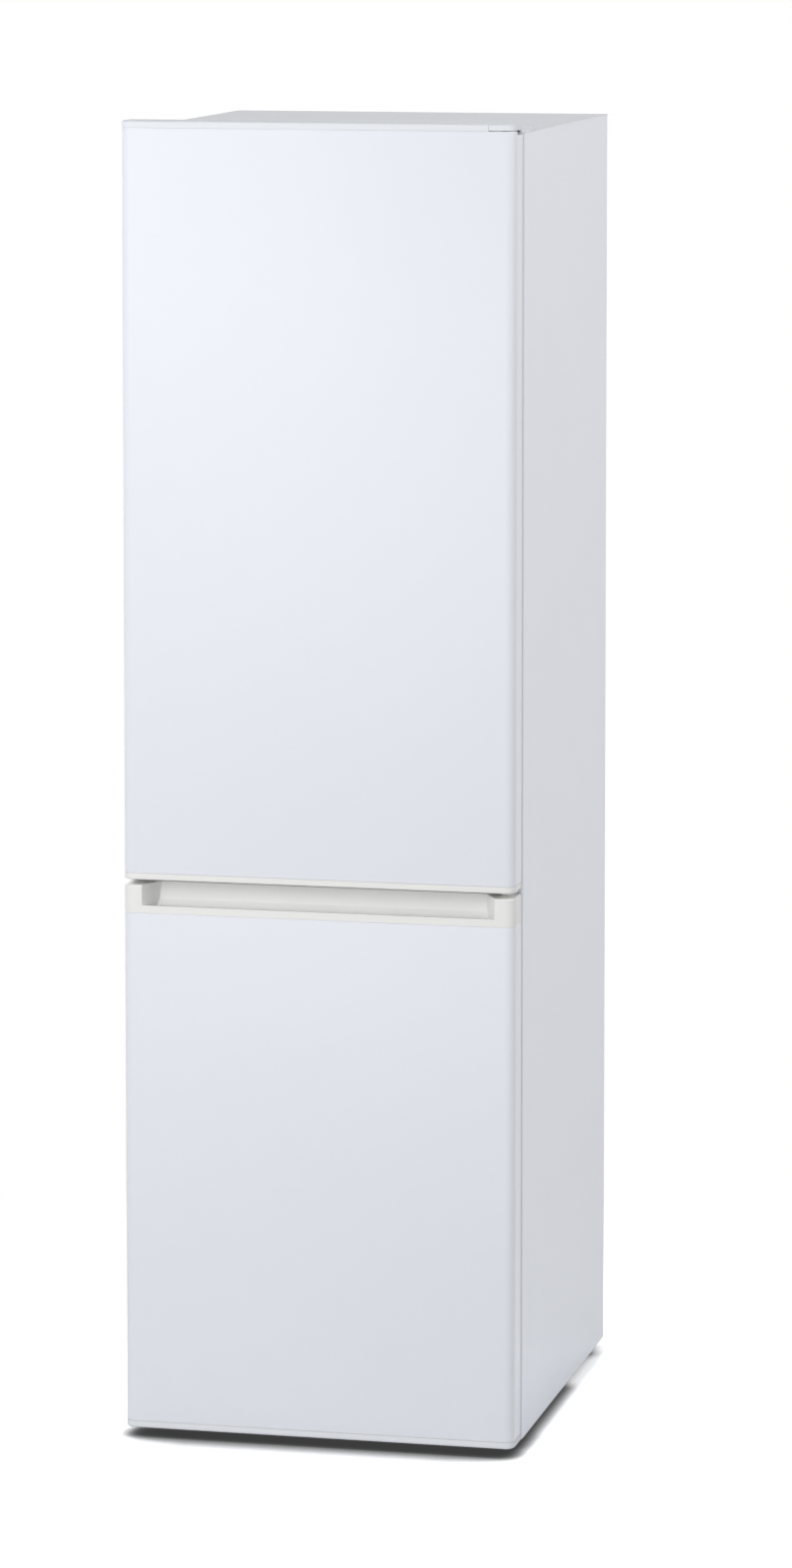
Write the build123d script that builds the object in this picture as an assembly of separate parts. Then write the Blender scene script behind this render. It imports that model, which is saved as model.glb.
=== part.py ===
from build123d import *
import os
from math import cos, radians, sin

# Slim two-door fridge-freezer with the freezer below, in millimetres.
# X runs to the right seen from the front, Y to the back and Z up from the floor.

os.makedirs("parts", exist_ok=True)

# Envelope
WIDTH = 480.0
DEPTH = 568.0
DOOR_TOP = 1592.0
CABINET_TOP = 1580.0
FLOOR_GAP = 12.0
DOOR_THICK = 41.0
SEAL_GAP = 9.0
X_SIDE = WIDTH / 2
Y_FRONT = -DEPTH / 2
Y_BACK = DEPTH / 2
Y_DOOR_BACK = Y_FRONT + DOOR_THICK
Y_FACE = Y_DOOR_BACK + SEAL_GAP

# Sheet, moulding and running clearances; CUT is how far a cutting body overshoots
SHEET = 0.8
BEND_R = 2.6
LINER = 1.5
RUN_FIT = 0.06
SLIDE_GAP = 0.4
EPS = 0.1
CUT = 1.0

# Cabinet walls
WALL = 44.0
CAVITY_X = X_SIDE - WALL
FLANGE_X = 202.0
REAR_FLANGE_X = 225.0
FRIDGE_FLOOR = 712.0
FRIDGE_CEILING = 1528.0
FRIDGE_BACK = 225.0
FREEZER_FLOOR = 72.0
FREEZER_CEILING = 650.0
FREEZER_BACK = 205.0
STEP_Y = 22.0
STEP_Z = 282.0
CAVITY_R = 14.0
FREEZER_EDGE_R = 10.0
RIM_REACH = 12.0
RIM_X = 214.0
RAIL_LOW = 655.0
RAIL_HIGH = 707.0
TOP_LIP_Z = 1536.0
KICK_TOP = 66.0

# Compressor nook at the lower rear
NOOK_Y = 72.0
NOOK_SLOPE_Z = 190.0
NOOK_SLOPE_Y = 112.0
NOOK_TOP = 232.0
NOOK_LIP_Z = 252.0
REAR_PANEL_Z = NOOK_TOP - SHEET
REAR_INSET = 1.5
REAR_CORNER_R = 6.0
REAR_BEAD_X = (-150.0, -50.0, 50.0, 150.0)
REAR_BEAD_Z = (330.0, 1480.0)
REAR_BEAD_HALF = 8.0
REAR_BEAD_DEEP = 3.0

# Door shells and end caps
CORNER_R = 12.0
UPPER_BOTTOM = 682.0
LOWER_TOP = 676.0
CAP_BAND = 8.0
GRIP_BAND = 34.0
SPIGOT = 16.0
SPIGOT_WALL = 2.5
SPIGOT_INSET = 0.9
BACK_RETURN_X = 226.0
CAP_EDGE_R = 2.5

# Finger scoop in the lower door and grip groove under the upper door
SCOOP_X_FRONT = 217.0
SCOOP_X_BACK = 200.0
SCOOP_LIP = 9.0
SCOOP_LIP_THICK = 7.0
SCOOP_DEPTH = 32.0
SCOOP_SINK = 11.0
SCOOP_R = 10.0
SCOOP_EDGE_R = 2.4
SCOOP_HOOK = 2.0
SCOOP_HEEL = 12.0
SCOOP_KNEE = (3.0, 4.0)
SCOOP_FRONT_WALL = 2.0
SCOOP_WALL = 3.0
GROOVE_X_LEFT = -213.0
GROOVE_X_RIGHT = 205.0
GROOVE_LIP = 6.0
GROOVE_BACK = 30.0
GROOVE_RISE = 15.0
GROOVE_SLANT = 8.0
GROOVE_R = 5.0

# Hinge line
HINGE_X = X_SIDE - 14.0
HINGE_Y = Y_FRONT + 24.0
PIN_R = 4.0
PIN_REACH = 16.0
BUSH_R = 7.0
BUSH_FLANGE_R = 9.5
BUSH_FLANGE = 0.8
BUSH_LENGTH = 18.0
BOSS_HALF = 13.0
PLUG_TALL = BUSH_LENGTH + 2.0
HINGE_PLATE = 4.0
POCKET_X = 202.0
POCKET_Y = HINGE_Y - 12.0
POCKET_FLOOR = CABINET_TOP - 2.0
CORNER_CAP_X = 208.0
CORNER_CAP_GAP = 0.8
CORNER_CAP_SPLIT = 0.3
CLIP = (212.0, 222.0, Y_FRONT + 4.0, Y_FRONT + 9.0)
CLIP_TALL = 10.0
POCKET_BLOCK_X = POCKET_X - 6.0
BOSS_FLOOR = 2.0
EYE_R = 8.0
EYE_NECK = 7.0
TOP_BLADE = [
    (150.0, -166.0), (150.0, -224.0), (198.0, -228.0), (HINGE_X - 20.0, -246.0), (HINGE_X - EYE_R, HINGE_Y),
    (HINGE_X + 1.0, HINGE_Y), (HINGE_X + 1.0, -232.0), (HINGE_X + 4.0, -214.0), (HINGE_X + 4.0, -166.0),
]
FLANGE_THICK = 3.0
FLANGE_LEFT = 150.0
FLANGE_HALF = 7.0
FLANGE_R = 3.0
BRACKET_X = 236.0
BRACKET_BACK = -164.0
MIDDLE_BLADE = [
    (204.0, Y_FACE - 1.0), (208.0, -252.0), (HINGE_X - EYE_NECK, HINGE_Y), (HINGE_X + EYE_NECK, HINGE_Y),
    (BRACKET_X, Y_FACE - 1.0),
]
BOTTOM_X = HINGE_X - 21.0
BOTTOM_Y = HINGE_Y + 10.0
BOTTOM_SEAT = Y_FACE + 4.0
BOTTOM_DOOR_GAP = 1.0
BOTTOM_BLADE = [
    (BOTTOM_X, BRACKET_BACK), (BOTTOM_X, BOTTOM_Y), (HINGE_X - EYE_NECK, HINGE_Y),
    (HINGE_X + EYE_NECK, HINGE_Y), (BRACKET_X, BOTTOM_Y), (BRACKET_X, BRACKET_BACK),
]
HOOD = (144.0, 236.0, -230.0, -158.0)
HOOD_WALL = 2.0
HOOD_CORNER_R = 8.0
HOOD_RIM_R = 4.0
HOOD_MOUTH_X = 194.0
TOP_SCREWS = [(160.0, -178.0), (196.0, -178.0), (178.0, -212.0)]
MIDDLE_SCREWS = [158.0, 175.0, 192.0]
BOTTOM_SCREWS = [(214.0, -212.0), (228.0, -196.0), (214.0, -176.0)]
SCREW_R = 2.5
HEAD_R = 4.6
HEAD = 2.4
HEAD_CROSS = 1.2

# Gaskets
GASKET_X = 212.0
GASKET_HALF = 7.0
GASKET_THICK = SEAL_GAP - 0.3
GASKET_FOLDS = (0.22, 0.45, 0.68)
GASKET_WAIST = GASKET_HALF * 0.5
GASKET_CHAMFER = 1.0
UPPER_GASKET = (695.0, 1547.0)
LOWER_GASKET = (55.0, 663.0)

# Door liners
RIDGE_X = 188.0
RIDGE_WIDE = 15.0
RIDGE_DEEP = 38.0
RIDGE_R = 16.0
RIDGE_INNER_R = 8.0
RIDGE_CROWN_R = 5.0
RIDGE_Z = (724.0, 1516.0)
PLATEAU_X = 185.0
PLATEAU_DEEP = 21.0
PLATEAU_R = 18.0
PLATEAU_CROWN_R = 10.0
PLATEAU_Z = (86.0, 636.0)
LUG_LENGTH = 6.0
LUG_TALL = 14.0
LUG_DROP = 12.0
LUG_Y = (Y_DOOR_BACK + 14.0, Y_DOOR_BACK + 28.0)
LUG_R = 4.0
RETURN_CUT = 3.0

# Door bins: floor height, wall height
BIN_X = 171.5
BIN_GAP = 0.5
BIN_DEEP = 100.0
BIN_WALL = 2.2
BIN_R = 18.0
BIN_FLOOR_R = 5.0
BIN_ROOM_R = 3.0
BIN_DIP = (26.0, 44.0, 0.72)
BIN_DIP_R = 8.0
BIN_END = 20.0
BIN_BEAD_R = 3.0
BINS = {"door_bin_top": (1290.0, 70.0), "door_bin_middle": (1050.0, 70.0), "bottle_rack": (760.0, 96.0)}

# Fridge interior
SHELF_TOPS = (896.0, 1060.0, 1215.0, 1370.0)
GLASS = 4.0
SHELF_X = 193.0
SHELF_FRONT = -112.0
SHELF_BACK = 194.0
RIB_DEEP = 10.0
RIB_TALL = 8.0
RIB_TOE_R = 2.0
PLATE_R = 4.0
TRIM_LAP = 3.0
NOSE_OUT = 8.0
NOSE_IN = 10.0
NOSE_R = 4.0
STOP_IN = 8.0
STOP_OUT = 6.0
STOP_LIP = 4.0
STOP_TALL = 9.0
CONTROL_X = 110.0
CONTROL_Y = (-60.0, 150.0)
CONTROL_TALL = 38.0
CONTROL_WALL = 2.5
CONTROL_BEVEL = 6.0
CONTROL_SLANT = 30.0
CONTROL_FLOOR = 8.0
CONTROL_R = 5.0
KNOB_X = 62.0
KNOB_Z = FRIDGE_CEILING - CONTROL_TALL / 2
KNOB_R = 14.0
KNOB_EDGE_R = 1.5
KNOB_DIAL = 7.0
KNOB_GRIP = 17.0
KNOB_GRIP_HALF = 3.0
KNOB_GRIP_R = 2.0
KNOB_SHAFT_R = 3.0
KNOB_SHAFT = 10.0
LENS_PLAN = (-88.0, 24.0, -30.0, 40.0)
LENS_DROP = 4.0
LENS_SEAT = 6.0
LENS_R = 10.0
LENS_EDGE_R = 3.0
DUCT_X = 80.0
DUCT_DEEP = 21.0
DUCT_Z = (912.0, 1470.0)
DUCT_R = 14.0
DUCT_EDGE_R = 6.0
DUCT_BACK = 6.0
OUTLET_ROWS = (90.0, 104.0)
OUTLET = (96.0, 7.0)

# Drawers
DRAWER_X = 184.0
DRAWER_WALL = 2.5
DRAWER_DRAFT = 5.0
DRAWER_LEAN = 1.0
DRAWER_R = 16.0
DRAWER_FREEBOARD = 8.0
FACE_OUT = 6.0
FACE_IN = 2.0
FACE_R = 8.0
FACE_EDGE_R = 3.0
PULL = (150.0, 26.0, 12.0)
PULL_DROP = 34.0
PULL_REACH = 12.0
CRISPER = (-112.0, 188.0, FRIDGE_FLOOR + SLIDE_GAP, 886.0)
FREEZER_DRAWERS = {
    "freezer_drawer_top": (-196.0, 122.0, 472.0, 638.0),
    "freezer_drawer_middle": (-196.0, 122.0, 290.0, 458.0),
    "freezer_drawer_bottom": (-196.0, 12.0, FREEZER_FLOOR + SLIDE_GAP, 276.0),
}
GUIDE_DEEP = 18.0
GUIDE_TALL = 7.0

# Cold air parts behind the freezer
DUCT_Y = 132.0
DUCT_PANEL = 5.0
DUCT_EDGE = 1.0
DUCT_PANEL_R = 9.0
LOW_SLOTS = (3, 22.0, 14.0)
LOW_SLOT = (300.0, 6.0)
SIDE_SLOT_X = 120.0
SIDE_SLOT = (90.0, 8.0)
FAN_Z = 566.0
FAN_R = 44.0
FAN_RING = (FAN_R + 1.5, FAN_R + 5.0)
FAN_RING_DEEP = 26.0
FAN_ARMS = 3
SPOKE = 3.0
HUB_R = 13.0
HUB_DEEP = 14.0
HUB_FRONT = DUCT_Y + 7.0
HUB_NOSE_R = 3.0
HUB_WALL = 4.0
BLADES = 5
BLADE_ROOT = (HUB_R - 2.0, 50.0, 14.0, 1.6)
BLADE_TIP = (FAN_R - 1.0, 28.0, 26.0, 1.2)
SPINDLE_R = 2.5
SPINDLE = (-8.0, 2.0)
MOTOR_R = 18.0
MOTOR_DEEP = 26.0
MOTOR_EDGE_R = 3.0
MOTOR_Y = DUCT_Y + 23.0
ARM_HALF = 5.0
ARM_Y = (3.0, 6.0)
ARM_ROOT = 10.0
COIL_Y = 172.0
COIL_Z = (304.0, 474.0)
COIL_X = 168.0
COIL_ROWS = 4
COIL_EDGE = 15.0
COIL_PIPE_R = 4.0
COIL_BEND = 0.45
FINS = 13
FIN_INSET = 34.0
FIN_HALF = 0.5
FIN_DEEP = 20.0

# Condenser coil against the right side panel
CONDENSER_PIPE_R = 2.4
CONDENSER_ROOM = 2.7
CONDENSER_PASSES = 6
CONDENSER_PITCH = 56.0
CONDENSER_Y = -140.0
CONDENSER_Z = (350.0, 1410.0)
CONDENSER_MARGIN = (25.0, 30.0)

# Stands and compressor
FOOT_X = 178.0
FOOT_Y = -200.0
FOOT_R = 17.0
STEM_R = 5.0
STEM_ROOM = 1.0
FOOT_PROFILE = [
    (0, 0), (FOOT_R - 3, 0), (FOOT_R, 2.5), (FOOT_R, 6), (FOOT_R - 5, 8.5), (STEM_R + 3, 9.5),
    (STEM_R, 11), (STEM_R, 36), (STEM_R - 1.5, 38), (0, 38),
]
FOOT_NOTCHES = 8
FOOT_NOTCH_R = 2.0
FOOT_NOTCH_TOP = 11.0
FOOT_SOCKET_R = 11.0
FOOT_SOCKET_TOP = 40.0
ROLLER_X = 215.0
ROLLER_Y = 236.0
ROLLER_R = 14.0
ROLLER_HALF = 9.5
ROLLER_CHAMFER = 2.0
AXLE_R = 3.0
AXLE_OVER = 4.0
DECK_Z = 32.0
DECK_THICK = 2.0
DECK_Y = (NOOK_Y + 4.0, Y_BACK - 6.0)
DECK_FLANGE_X = FLANGE_X - 4.0
DECK_FLANGE_Z = FLOOR_GAP + 2.0
FORK_GAP = 1.0
FORK_HALF = 10.0
FORK_LOW = ROLLER_R - 8.0
FORK_R = 7.0
PUMP_X = -40.0
PUMP_Y = 176.0
PUMP_R = 66.0
PUMP_FOOT_Z = 42.0
PUMP_TOP = 198.0
PUMP_FLOOR = PUMP_FOOT_Z + 4.0
PUMP_SEAM = (PUMP_FLOOR + 70.0, PUMP_FLOOR + 76.0)
PUMP_PROFILE = [
    (0, PUMP_FLOOR), (PUMP_R - 10, PUMP_FLOOR), (PUMP_R - 2, PUMP_FLOOR + 22), (PUMP_R - 1, PUMP_SEAM[0]),
    (PUMP_R + 3, PUMP_SEAM[0]), (PUMP_R + 3, PUMP_SEAM[1]), (PUMP_R - 1, PUMP_SEAM[1]),
    (PUMP_R - 3, PUMP_TOP - 34), (PUMP_R - 24, PUMP_TOP - 5), (0, PUMP_TOP),
]
PUMP_BOWL_R = 14.0
PUMP_PLATE = (176.0, 136.0, 16.0)
PUMP_PLATE_THICK = 5.0
MOUNT_SPOTS = [(-72.0, -52.0), (72.0, -52.0), (-72.0, 52.0), (72.0, 52.0)]
MOUNT_BORE = 6.0
MOUNT_PROFILE = [
    (0, DECK_Z - 6), (MOUNT_BORE - 1, DECK_Z - 6), (MOUNT_BORE, DECK_Z - 4), (MOUNT_BORE, DECK_Z),
    (12, DECK_Z), (11, (DECK_Z + PUMP_FOOT_Z) / 2), (12, PUMP_FOOT_Z), (MOUNT_BORE, PUMP_FOOT_Z),
    (MOUNT_BORE, PUMP_FOOT_Z + 6), (0, PUMP_FOOT_Z + 6),
]
RELAY = (PUMP_X + 40.0, PUMP_X + PUMP_R + 34.0, PUMP_Y - 30.0, PUMP_Y + 30.0, 62.0, 108.0)
RELAY_R = 6.0
RELAY_EDGE_R = 4.0
TRAY_Y = PUMP_Y + 4.0
TRAY_TALL = 24.0
TRAY_WALL = 2.0
TRAY_FLOOR = (150.0, 110.0, 14.0)
TRAY_MOUTH = (166.0, 126.0, 18.0)

# Pipes of the nook: bend radius, then radius and course of each
PIPE_BEND = 12.0
SUCTION_R = 4.0
SUCTION_X = PUMP_X - PUMP_R - 40.0
SUCTION_Z = (96.0, 214.0)
DISCHARGE_R = 3.0
DISCHARGE_X = (150.0, 232.0)
DISCHARGE_Y = (PUMP_Y - 8.0, 250.0)
DISCHARGE_Z = (128.0, 200.0)
PIPE_SEAT = 4.0
DRIER_X = 190.0
DRIER_Y = 120.0
DRIER_R = 8.0
DRIER_Z = (60.0, 150.0)
DRIER_END_R = 4.0
CAPILLARY_R = 2.0
CAPILLARY_BEND = 8.0
CAPILLARY_Z = (40.0, 190.0)
CAPILLARY_X = 226.0
CAPILLARY_SEAT = 2.0


def span(x0, x1, y0, y1, z0, z1):
    """Block between two opposite corners."""
    return Pos((x0 + x1) / 2, (y0 + y1) / 2, (z0 + z1) / 2) * Box(x1 - x0, y1 - y0, z1 - z0)


def rect(u0, u1, v0, v1):
    """Flat rectangle between two opposite corners."""
    return Pos((u0 + u1) / 2, (v0 + v1) / 2) * Rectangle(u1 - u0, v1 - v0)


def rise(sketch, z0, z1):
    """Plan sketch raised between two heights."""
    return extrude(Pos(0, 0, z0) * sketch, z1 - z0)


def across(sketch, x0, x1):
    """Side-view sketch (Y, Z) run between two X positions."""
    return extrude(Plane.YZ.offset(x0) * sketch, x1 - x0)


def rearward(sketch, y0, y1):
    """Front-view sketch (X, Z) run from y0 back to y1."""
    return extrude(Plane.XZ.offset(-y0) * sketch, y0 - y1)


def polygon(*points):
    """Closed face through the given points."""
    return make_face(Polyline(*points, close=True))


def sheet(*points):
    """Section of a folded sheet with bend radii, along its mid-line."""
    return trace(FilletPolyline(*points, radius=BEND_R), line_width=SHEET)


def upright(x, y, radius, z0, z1):
    """Vertical round bar."""
    return Pos(x, y, (z0 + z1) / 2) * Cylinder(radius, z1 - z0)


def tube(radius, bend, *points):
    """Round pipe along a line with bends."""
    line = FilletPolyline(*points, radius=bend)
    return sweep(Plane(origin=line @ 0, z_dir=line % 0) * Circle(radius), path=line)


def save(node, *solids):
    """Write one named node as a STEP file."""
    shape = solids[0] if len(solids) == 1 else Compound(children=list(solids))
    shape.label = node
    export_step(shape, f"parts/{node}.step")


# Cabinet shell


def side_panel():
    """Right side: outer sheet with the sealing flange in front and a lip behind."""
    half = SHEET / 2
    section = sheet(
        (FLANGE_X, Y_FACE + half),
        (X_SIDE - half, Y_FACE + half),
        (X_SIDE - half, Y_BACK - SHEET - half),
        (REAR_FLANGE_X, Y_BACK - SHEET - half),
    )
    return rise(section, FLOOR_GAP, CABINET_TOP - SHEET)


def top_panel():
    """Top sheet folded down in front between the side flanges."""
    half = SHEET / 2
    section = sheet(
        (Y_FACE + half, TOP_LIP_Z),
        (Y_FACE + half, CABINET_TOP - half),
        (Y_BACK, CABINET_TOP - half),
    )
    panel = across(section, -X_SIDE, X_SIDE)
    for side in (-1, 1):
        inner, outer = sorted((side * (FLANGE_X - EPS), side * (X_SIDE + CUT)))
        panel -= span(inner, outer, Y_FACE - CUT, Y_FACE + BEND_R * 2, TOP_LIP_Z - CUT, CABINET_TOP - SHEET)
    return panel


def rear_beads(grow):
    """Pressed grooves of the rear sheet, grown by the sheet's thickness for their backs."""
    low, high = REAR_BEAD_Z
    groove = Rot(0, 0, 90) * SlotOverall(high - low + 2 * grow, 2 * (REAR_BEAD_HALF + grow))
    return [
        rearward(Pos(x, (low + high) / 2) * groove, Y_BACK - REAR_BEAD_DEEP - grow, Y_BACK)
        for x in REAR_BEAD_X
    ]


def rear_panel():
    """Rear sheet with upright grooves pressed in to stiffen it."""
    edge = X_SIDE - REAR_INSET
    panel = span(-edge, edge, Y_BACK - SHEET, Y_BACK, REAR_PANEL_Z, CABINET_TOP - SHEET)
    panel = fillet(panel.edges().filter_by(Axis.Y), REAR_CORNER_R)
    for back, groove in zip(rear_beads(SHEET), rear_beads(0)):
        panel = panel + back - groove
    return panel


def foot_boss(x):
    """Threaded socket for a levelling foot."""
    socket = upright(x, FOOT_Y, FOOT_SOCKET_R, FLOOR_GAP, FOOT_SOCKET_TOP)
    return socket - upright(x, FOOT_Y, STEM_R + RUN_FIT, FLOOR_GAP - CUT, FOOT_SOCKET_TOP + CUT)


def base_plate():
    """Floor sheet with the front kick flange and the two foot sockets."""
    half = SHEET / 2
    section = sheet(
        (Y_FACE + half, KICK_TOP), (Y_FACE + half, FLOOR_GAP + half), (NOOK_Y, FLOOR_GAP + half)
    )
    plate = across(section, -FLANGE_X + EPS, FLANGE_X - EPS)
    inner = X_SIDE - SHEET
    plate += span(-inner, inner, Y_FACE + BEND_R * 2, NOOK_Y, FLOOR_GAP, FLOOR_GAP + SHEET)
    for side in (-1, 1):
        hole = upright(side * FOOT_X, FOOT_Y, STEM_R + STEM_ROOM, FLOOR_GAP - CUT, FLOOR_GAP + SHEET + CUT)
        plate = plate - hole + foot_boss(side * FOOT_X)
    return plate


def nook_line():
    """Fold line of the sheet that lines the compressor nook."""
    half = SHEET / 2
    return [
        (NOOK_Y + half, FLOOR_GAP),
        (NOOK_Y + half, NOOK_SLOPE_Z),
        (NOOK_SLOPE_Y, NOOK_TOP - half),
        (Y_BACK - 2.5 * SHEET, NOOK_TOP - half),
        (Y_BACK - 2.5 * SHEET, NOOK_LIP_Z),
    ]


def nook_panel():
    """Folded sheet between the foam and the compressor nook, notched round the side panels' rear bends."""
    inner = X_SIDE - SHEET
    panel = across(sheet(*nook_line()), -inner, inner)
    for side in (-1, 1):
        x0, x1 = sorted((side * (inner - BEND_R), side * X_SIDE))
        panel -= span(x0, x1, Y_BACK - 2 * BEND_R, Y_BACK, FLOOR_GAP, NOOK_LIP_Z + CUT)
    return panel


def divider_rail():
    """Steel cross rail that both doors seal against."""
    reach = FLANGE_X - EPS
    return span(-reach, reach, Y_FACE, Y_FACE + SHEET, RAIL_LOW, RAIL_HIGH)


# Liners and foam


def fridge_cavity(grow):
    """Space of the fridge compartment, grown by a wall thickness."""
    tall = FRIDGE_CEILING - FRIDGE_FLOOR
    mouth = Pos(0, (FRIDGE_CEILING + FRIDGE_FLOOR) / 2) * RectangleRounded(
        2 * (CAVITY_X + grow), tall + 2 * grow, CAVITY_R + grow
    )
    body = rearward(mouth, Y_FACE + SHEET, FRIDGE_BACK + grow)
    return fillet(body.faces().sort_by(Axis.Y)[-1].edges(), CAVITY_R + grow)


def freezer_cavity(grow):
    """Space of the freezer compartment with the step over the compressor nook."""
    mouth = Y_FACE + SHEET
    section = polygon(
        (mouth, FREEZER_FLOOR - grow),
        (STEP_Y + grow, FREEZER_FLOOR - grow),
        (STEP_Y + grow, STEP_Z - grow),
        (FREEZER_BACK + grow, STEP_Z - grow),
        (FREEZER_BACK + grow, FREEZER_CEILING + grow),
        (mouth, FREEZER_CEILING + grow),
    )
    inner = [v for v in section.vertices() if v.X > mouth + CUT]
    section = fillet(inner, CAVITY_R)
    body = across(section, -CAVITY_X - grow, CAVITY_X + grow)
    corners = [
        e
        for e in body.edges()
        if abs(abs(e.center().X) - CAVITY_X - grow) < EPS and e.center().Y > mouth + CUT
    ]
    return fillet(corners, FREEZER_EDGE_R)


def liner_rim(low, high):
    """Flat frame round a liner's mouth, held behind the steel flanges."""
    frame = rect(-RIM_X, RIM_X, low - RIM_REACH, high + RIM_REACH)
    return rearward(frame, Y_FACE + SHEET, Y_FACE + SHEET + LINER)


def wall_rib(x, y0, y1, top, deep, tall):
    """Rounded support rib on a side wall at x, seen from inside."""
    side = 1 if x > 0 else -1
    inner, outer = sorted((x - side * deep, x + side * LINER / 2))
    rib = span(inner, outer, y0, y1, top - tall, top)
    toe = [e for e in rib.edges().filter_by(Axis.Y) if abs(e.center().X - (x - side * deep)) < EPS]
    return fillet(toe, RIB_TOE_R)


def fridge_liner():
    """Formed liner with the shelf ribs on both walls."""
    shell = fridge_cavity(LINER) + liner_rim(FRIDGE_FLOOR, FRIDGE_CEILING) - fridge_cavity(0)
    for top in SHELF_TOPS:
        for side in (-1, 1):
            shell += wall_rib(side * CAVITY_X, SHELF_FRONT, SHELF_BACK, top, RIB_DEEP, RIB_TALL)
    return shell


def freezer_liner():
    """Formed liner with guide ribs under the two upper drawers."""
    shell = freezer_cavity(LINER) + liner_rim(FREEZER_FLOOR, FREEZER_CEILING) - freezer_cavity(0)
    for node in ("freezer_drawer_top", "freezer_drawer_middle"):
        front, back, low, _ = FREEZER_DRAWERS[node]
        for side in (-1, 1):
            rib = wall_rib(side * CAVITY_X, front, back, low - SLIDE_GAP, GUIDE_DEEP, GUIDE_TALL)
            shell += rib & freezer_cavity(LINER / 2)
    return shell


def coil_pocket():
    """Shallow pocket in the foam for the condenser coil."""
    wall = X_SIDE - SHEET
    reach = CONDENSER_PITCH * (CONDENSER_PASSES - 1)
    side, end = CONDENSER_MARGIN
    low, high = CONDENSER_Z
    return span(
        wall - 2 * CONDENSER_ROOM, wall, CONDENSER_Y - side, CONDENSER_Y + reach + side, low - end, high + end
    )


def cabinet_foam(sheets):
    """Foam between the sheets and the liners."""
    inner = X_SIDE - SHEET
    foam = span(-inner, inner, Y_FACE + SHEET, Y_BACK - SHEET, FLOOR_GAP + SHEET, CABINET_TOP - SHEET)
    front, roof = NOOK_Y + SHEET / 2, NOOK_TOP - SHEET / 2
    nook = polygon(*nook_line()[:3], (Y_BACK + CUT, roof), (Y_BACK + CUT, 0), (front, 0))
    foam -= across(nook, -X_SIDE, X_SIDE)
    foam -= fridge_cavity(LINER)
    foam -= freezer_cavity(LINER)
    foam -= liner_rim(FRIDGE_FLOOR, FRIDGE_CEILING)
    foam -= liner_rim(FREEZER_FLOOR, FREEZER_CEILING)
    foam -= coil_pocket()
    for part in [*sheets, *rear_beads(SHEET)]:
        foam -= part
    for side in (-1, 1):
        foam -= upright(side * FOOT_X, FOOT_Y, STEM_R + STEM_ROOM, FLOOR_GAP, FOOT_SOCKET_TOP + CUT)
    return foam.solids().sort_by(SortBy.VOLUME)[-1]


# Hinges


def hinge_blade(points, z0, z1):
    """Flat hinge plate ending in a round eye on the hinge line."""
    plan = polygon(*points) + Pos(HINGE_X, HINGE_Y) * Circle(EYE_R)
    return rise(plan, z0, z1)


def top_hinge():
    """Bracket on the cabinet top with the pin that hangs into the upper door."""
    z0, z1 = CABINET_TOP, CABINET_TOP + HINGE_PLATE
    blade = hinge_blade(TOP_BLADE, z0, z1)
    for x, y in TOP_SCREWS:
        blade -= upright(x, y, SCREW_R, z0 - CUT, z1 + CUT)
    pin = upright(HINGE_X, HINGE_Y, PIN_R, POCKET_FLOOR - PIN_REACH, z1 + CORNER_CAP_GAP / 2)
    return blade + pin


def top_hinge_cover():
    """Plastic hood over the top bracket."""
    x0, x1, y0, y1 = HOOD
    low, high = CABINET_TOP, DOOR_TOP - HOOD_WALL
    hood = fillet(span(*HOOD, low, high).edges().filter_by(Axis.Z), HOOD_CORNER_R)
    hood = fillet(hood.faces().sort_by(Axis.Z)[-1].edges(), HOOD_RIM_R)
    hollow = span(
        x0 + HOOD_WALL, x1 - HOOD_WALL, y0 + HOOD_WALL, y1 - HOOD_WALL, low - CUT, high - HOOD_WALL
    )
    hollow = fillet(hollow.edges().filter_by(Axis.Z), HOOD_CORNER_R - HOOD_WALL)
    mouth = span(HOOD_MOUTH_X, x1 + CUT, y0 - CUT, y0 + 2 * HOOD_WALL, low - CUT, low + HINGE_PLATE + CUT)
    return hood - hollow - mouth


def middle_hinge():
    """Bracket on the divider with a pin up and a pin down."""
    mid = (UPPER_BOTTOM + LOWER_TOP) / 2
    z0, z1 = mid - HINGE_PLATE / 2, mid + HINGE_PLATE / 2
    flange = span(
        FLANGE_LEFT, BRACKET_X, Y_FACE - FLANGE_THICK, Y_FACE, mid - FLANGE_HALF, mid + FLANGE_HALF
    )
    flange = fillet(flange.edges().filter_by(Axis.Y), FLANGE_R)
    blade = hinge_blade(MIDDLE_BLADE, z0, z1)
    for x in MIDDLE_SCREWS:
        flange -= Pos(x, Y_FACE, mid) * Rot(90, 0, 0) * Cylinder(SCREW_R, 4 * FLANGE_THICK)
    pin = upright(HINGE_X, HINGE_Y, PIN_R, z0 - PIN_REACH, z1 + PIN_REACH)
    return flange + blade + pin


def bottom_hinge():
    """Bracket under the base with the pin that carries the lower door."""
    low = FLOOR_GAP - HINGE_PLATE
    blade = hinge_blade(BOTTOM_BLADE, low, FLOOR_GAP - BOTTOM_DOOR_GAP)
    blade += span(BOTTOM_X, BRACKET_X, BOTTOM_SEAT, BRACKET_BACK, low, FLOOR_GAP)
    for x, y in BOTTOM_SCREWS:
        blade -= upright(x, y, SCREW_R, low - CUT, FLOOR_GAP + CUT)
    pin = upright(HINGE_X, HINGE_Y, PIN_R, low, FLOOR_GAP + PIN_REACH)
    return blade + pin


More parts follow.
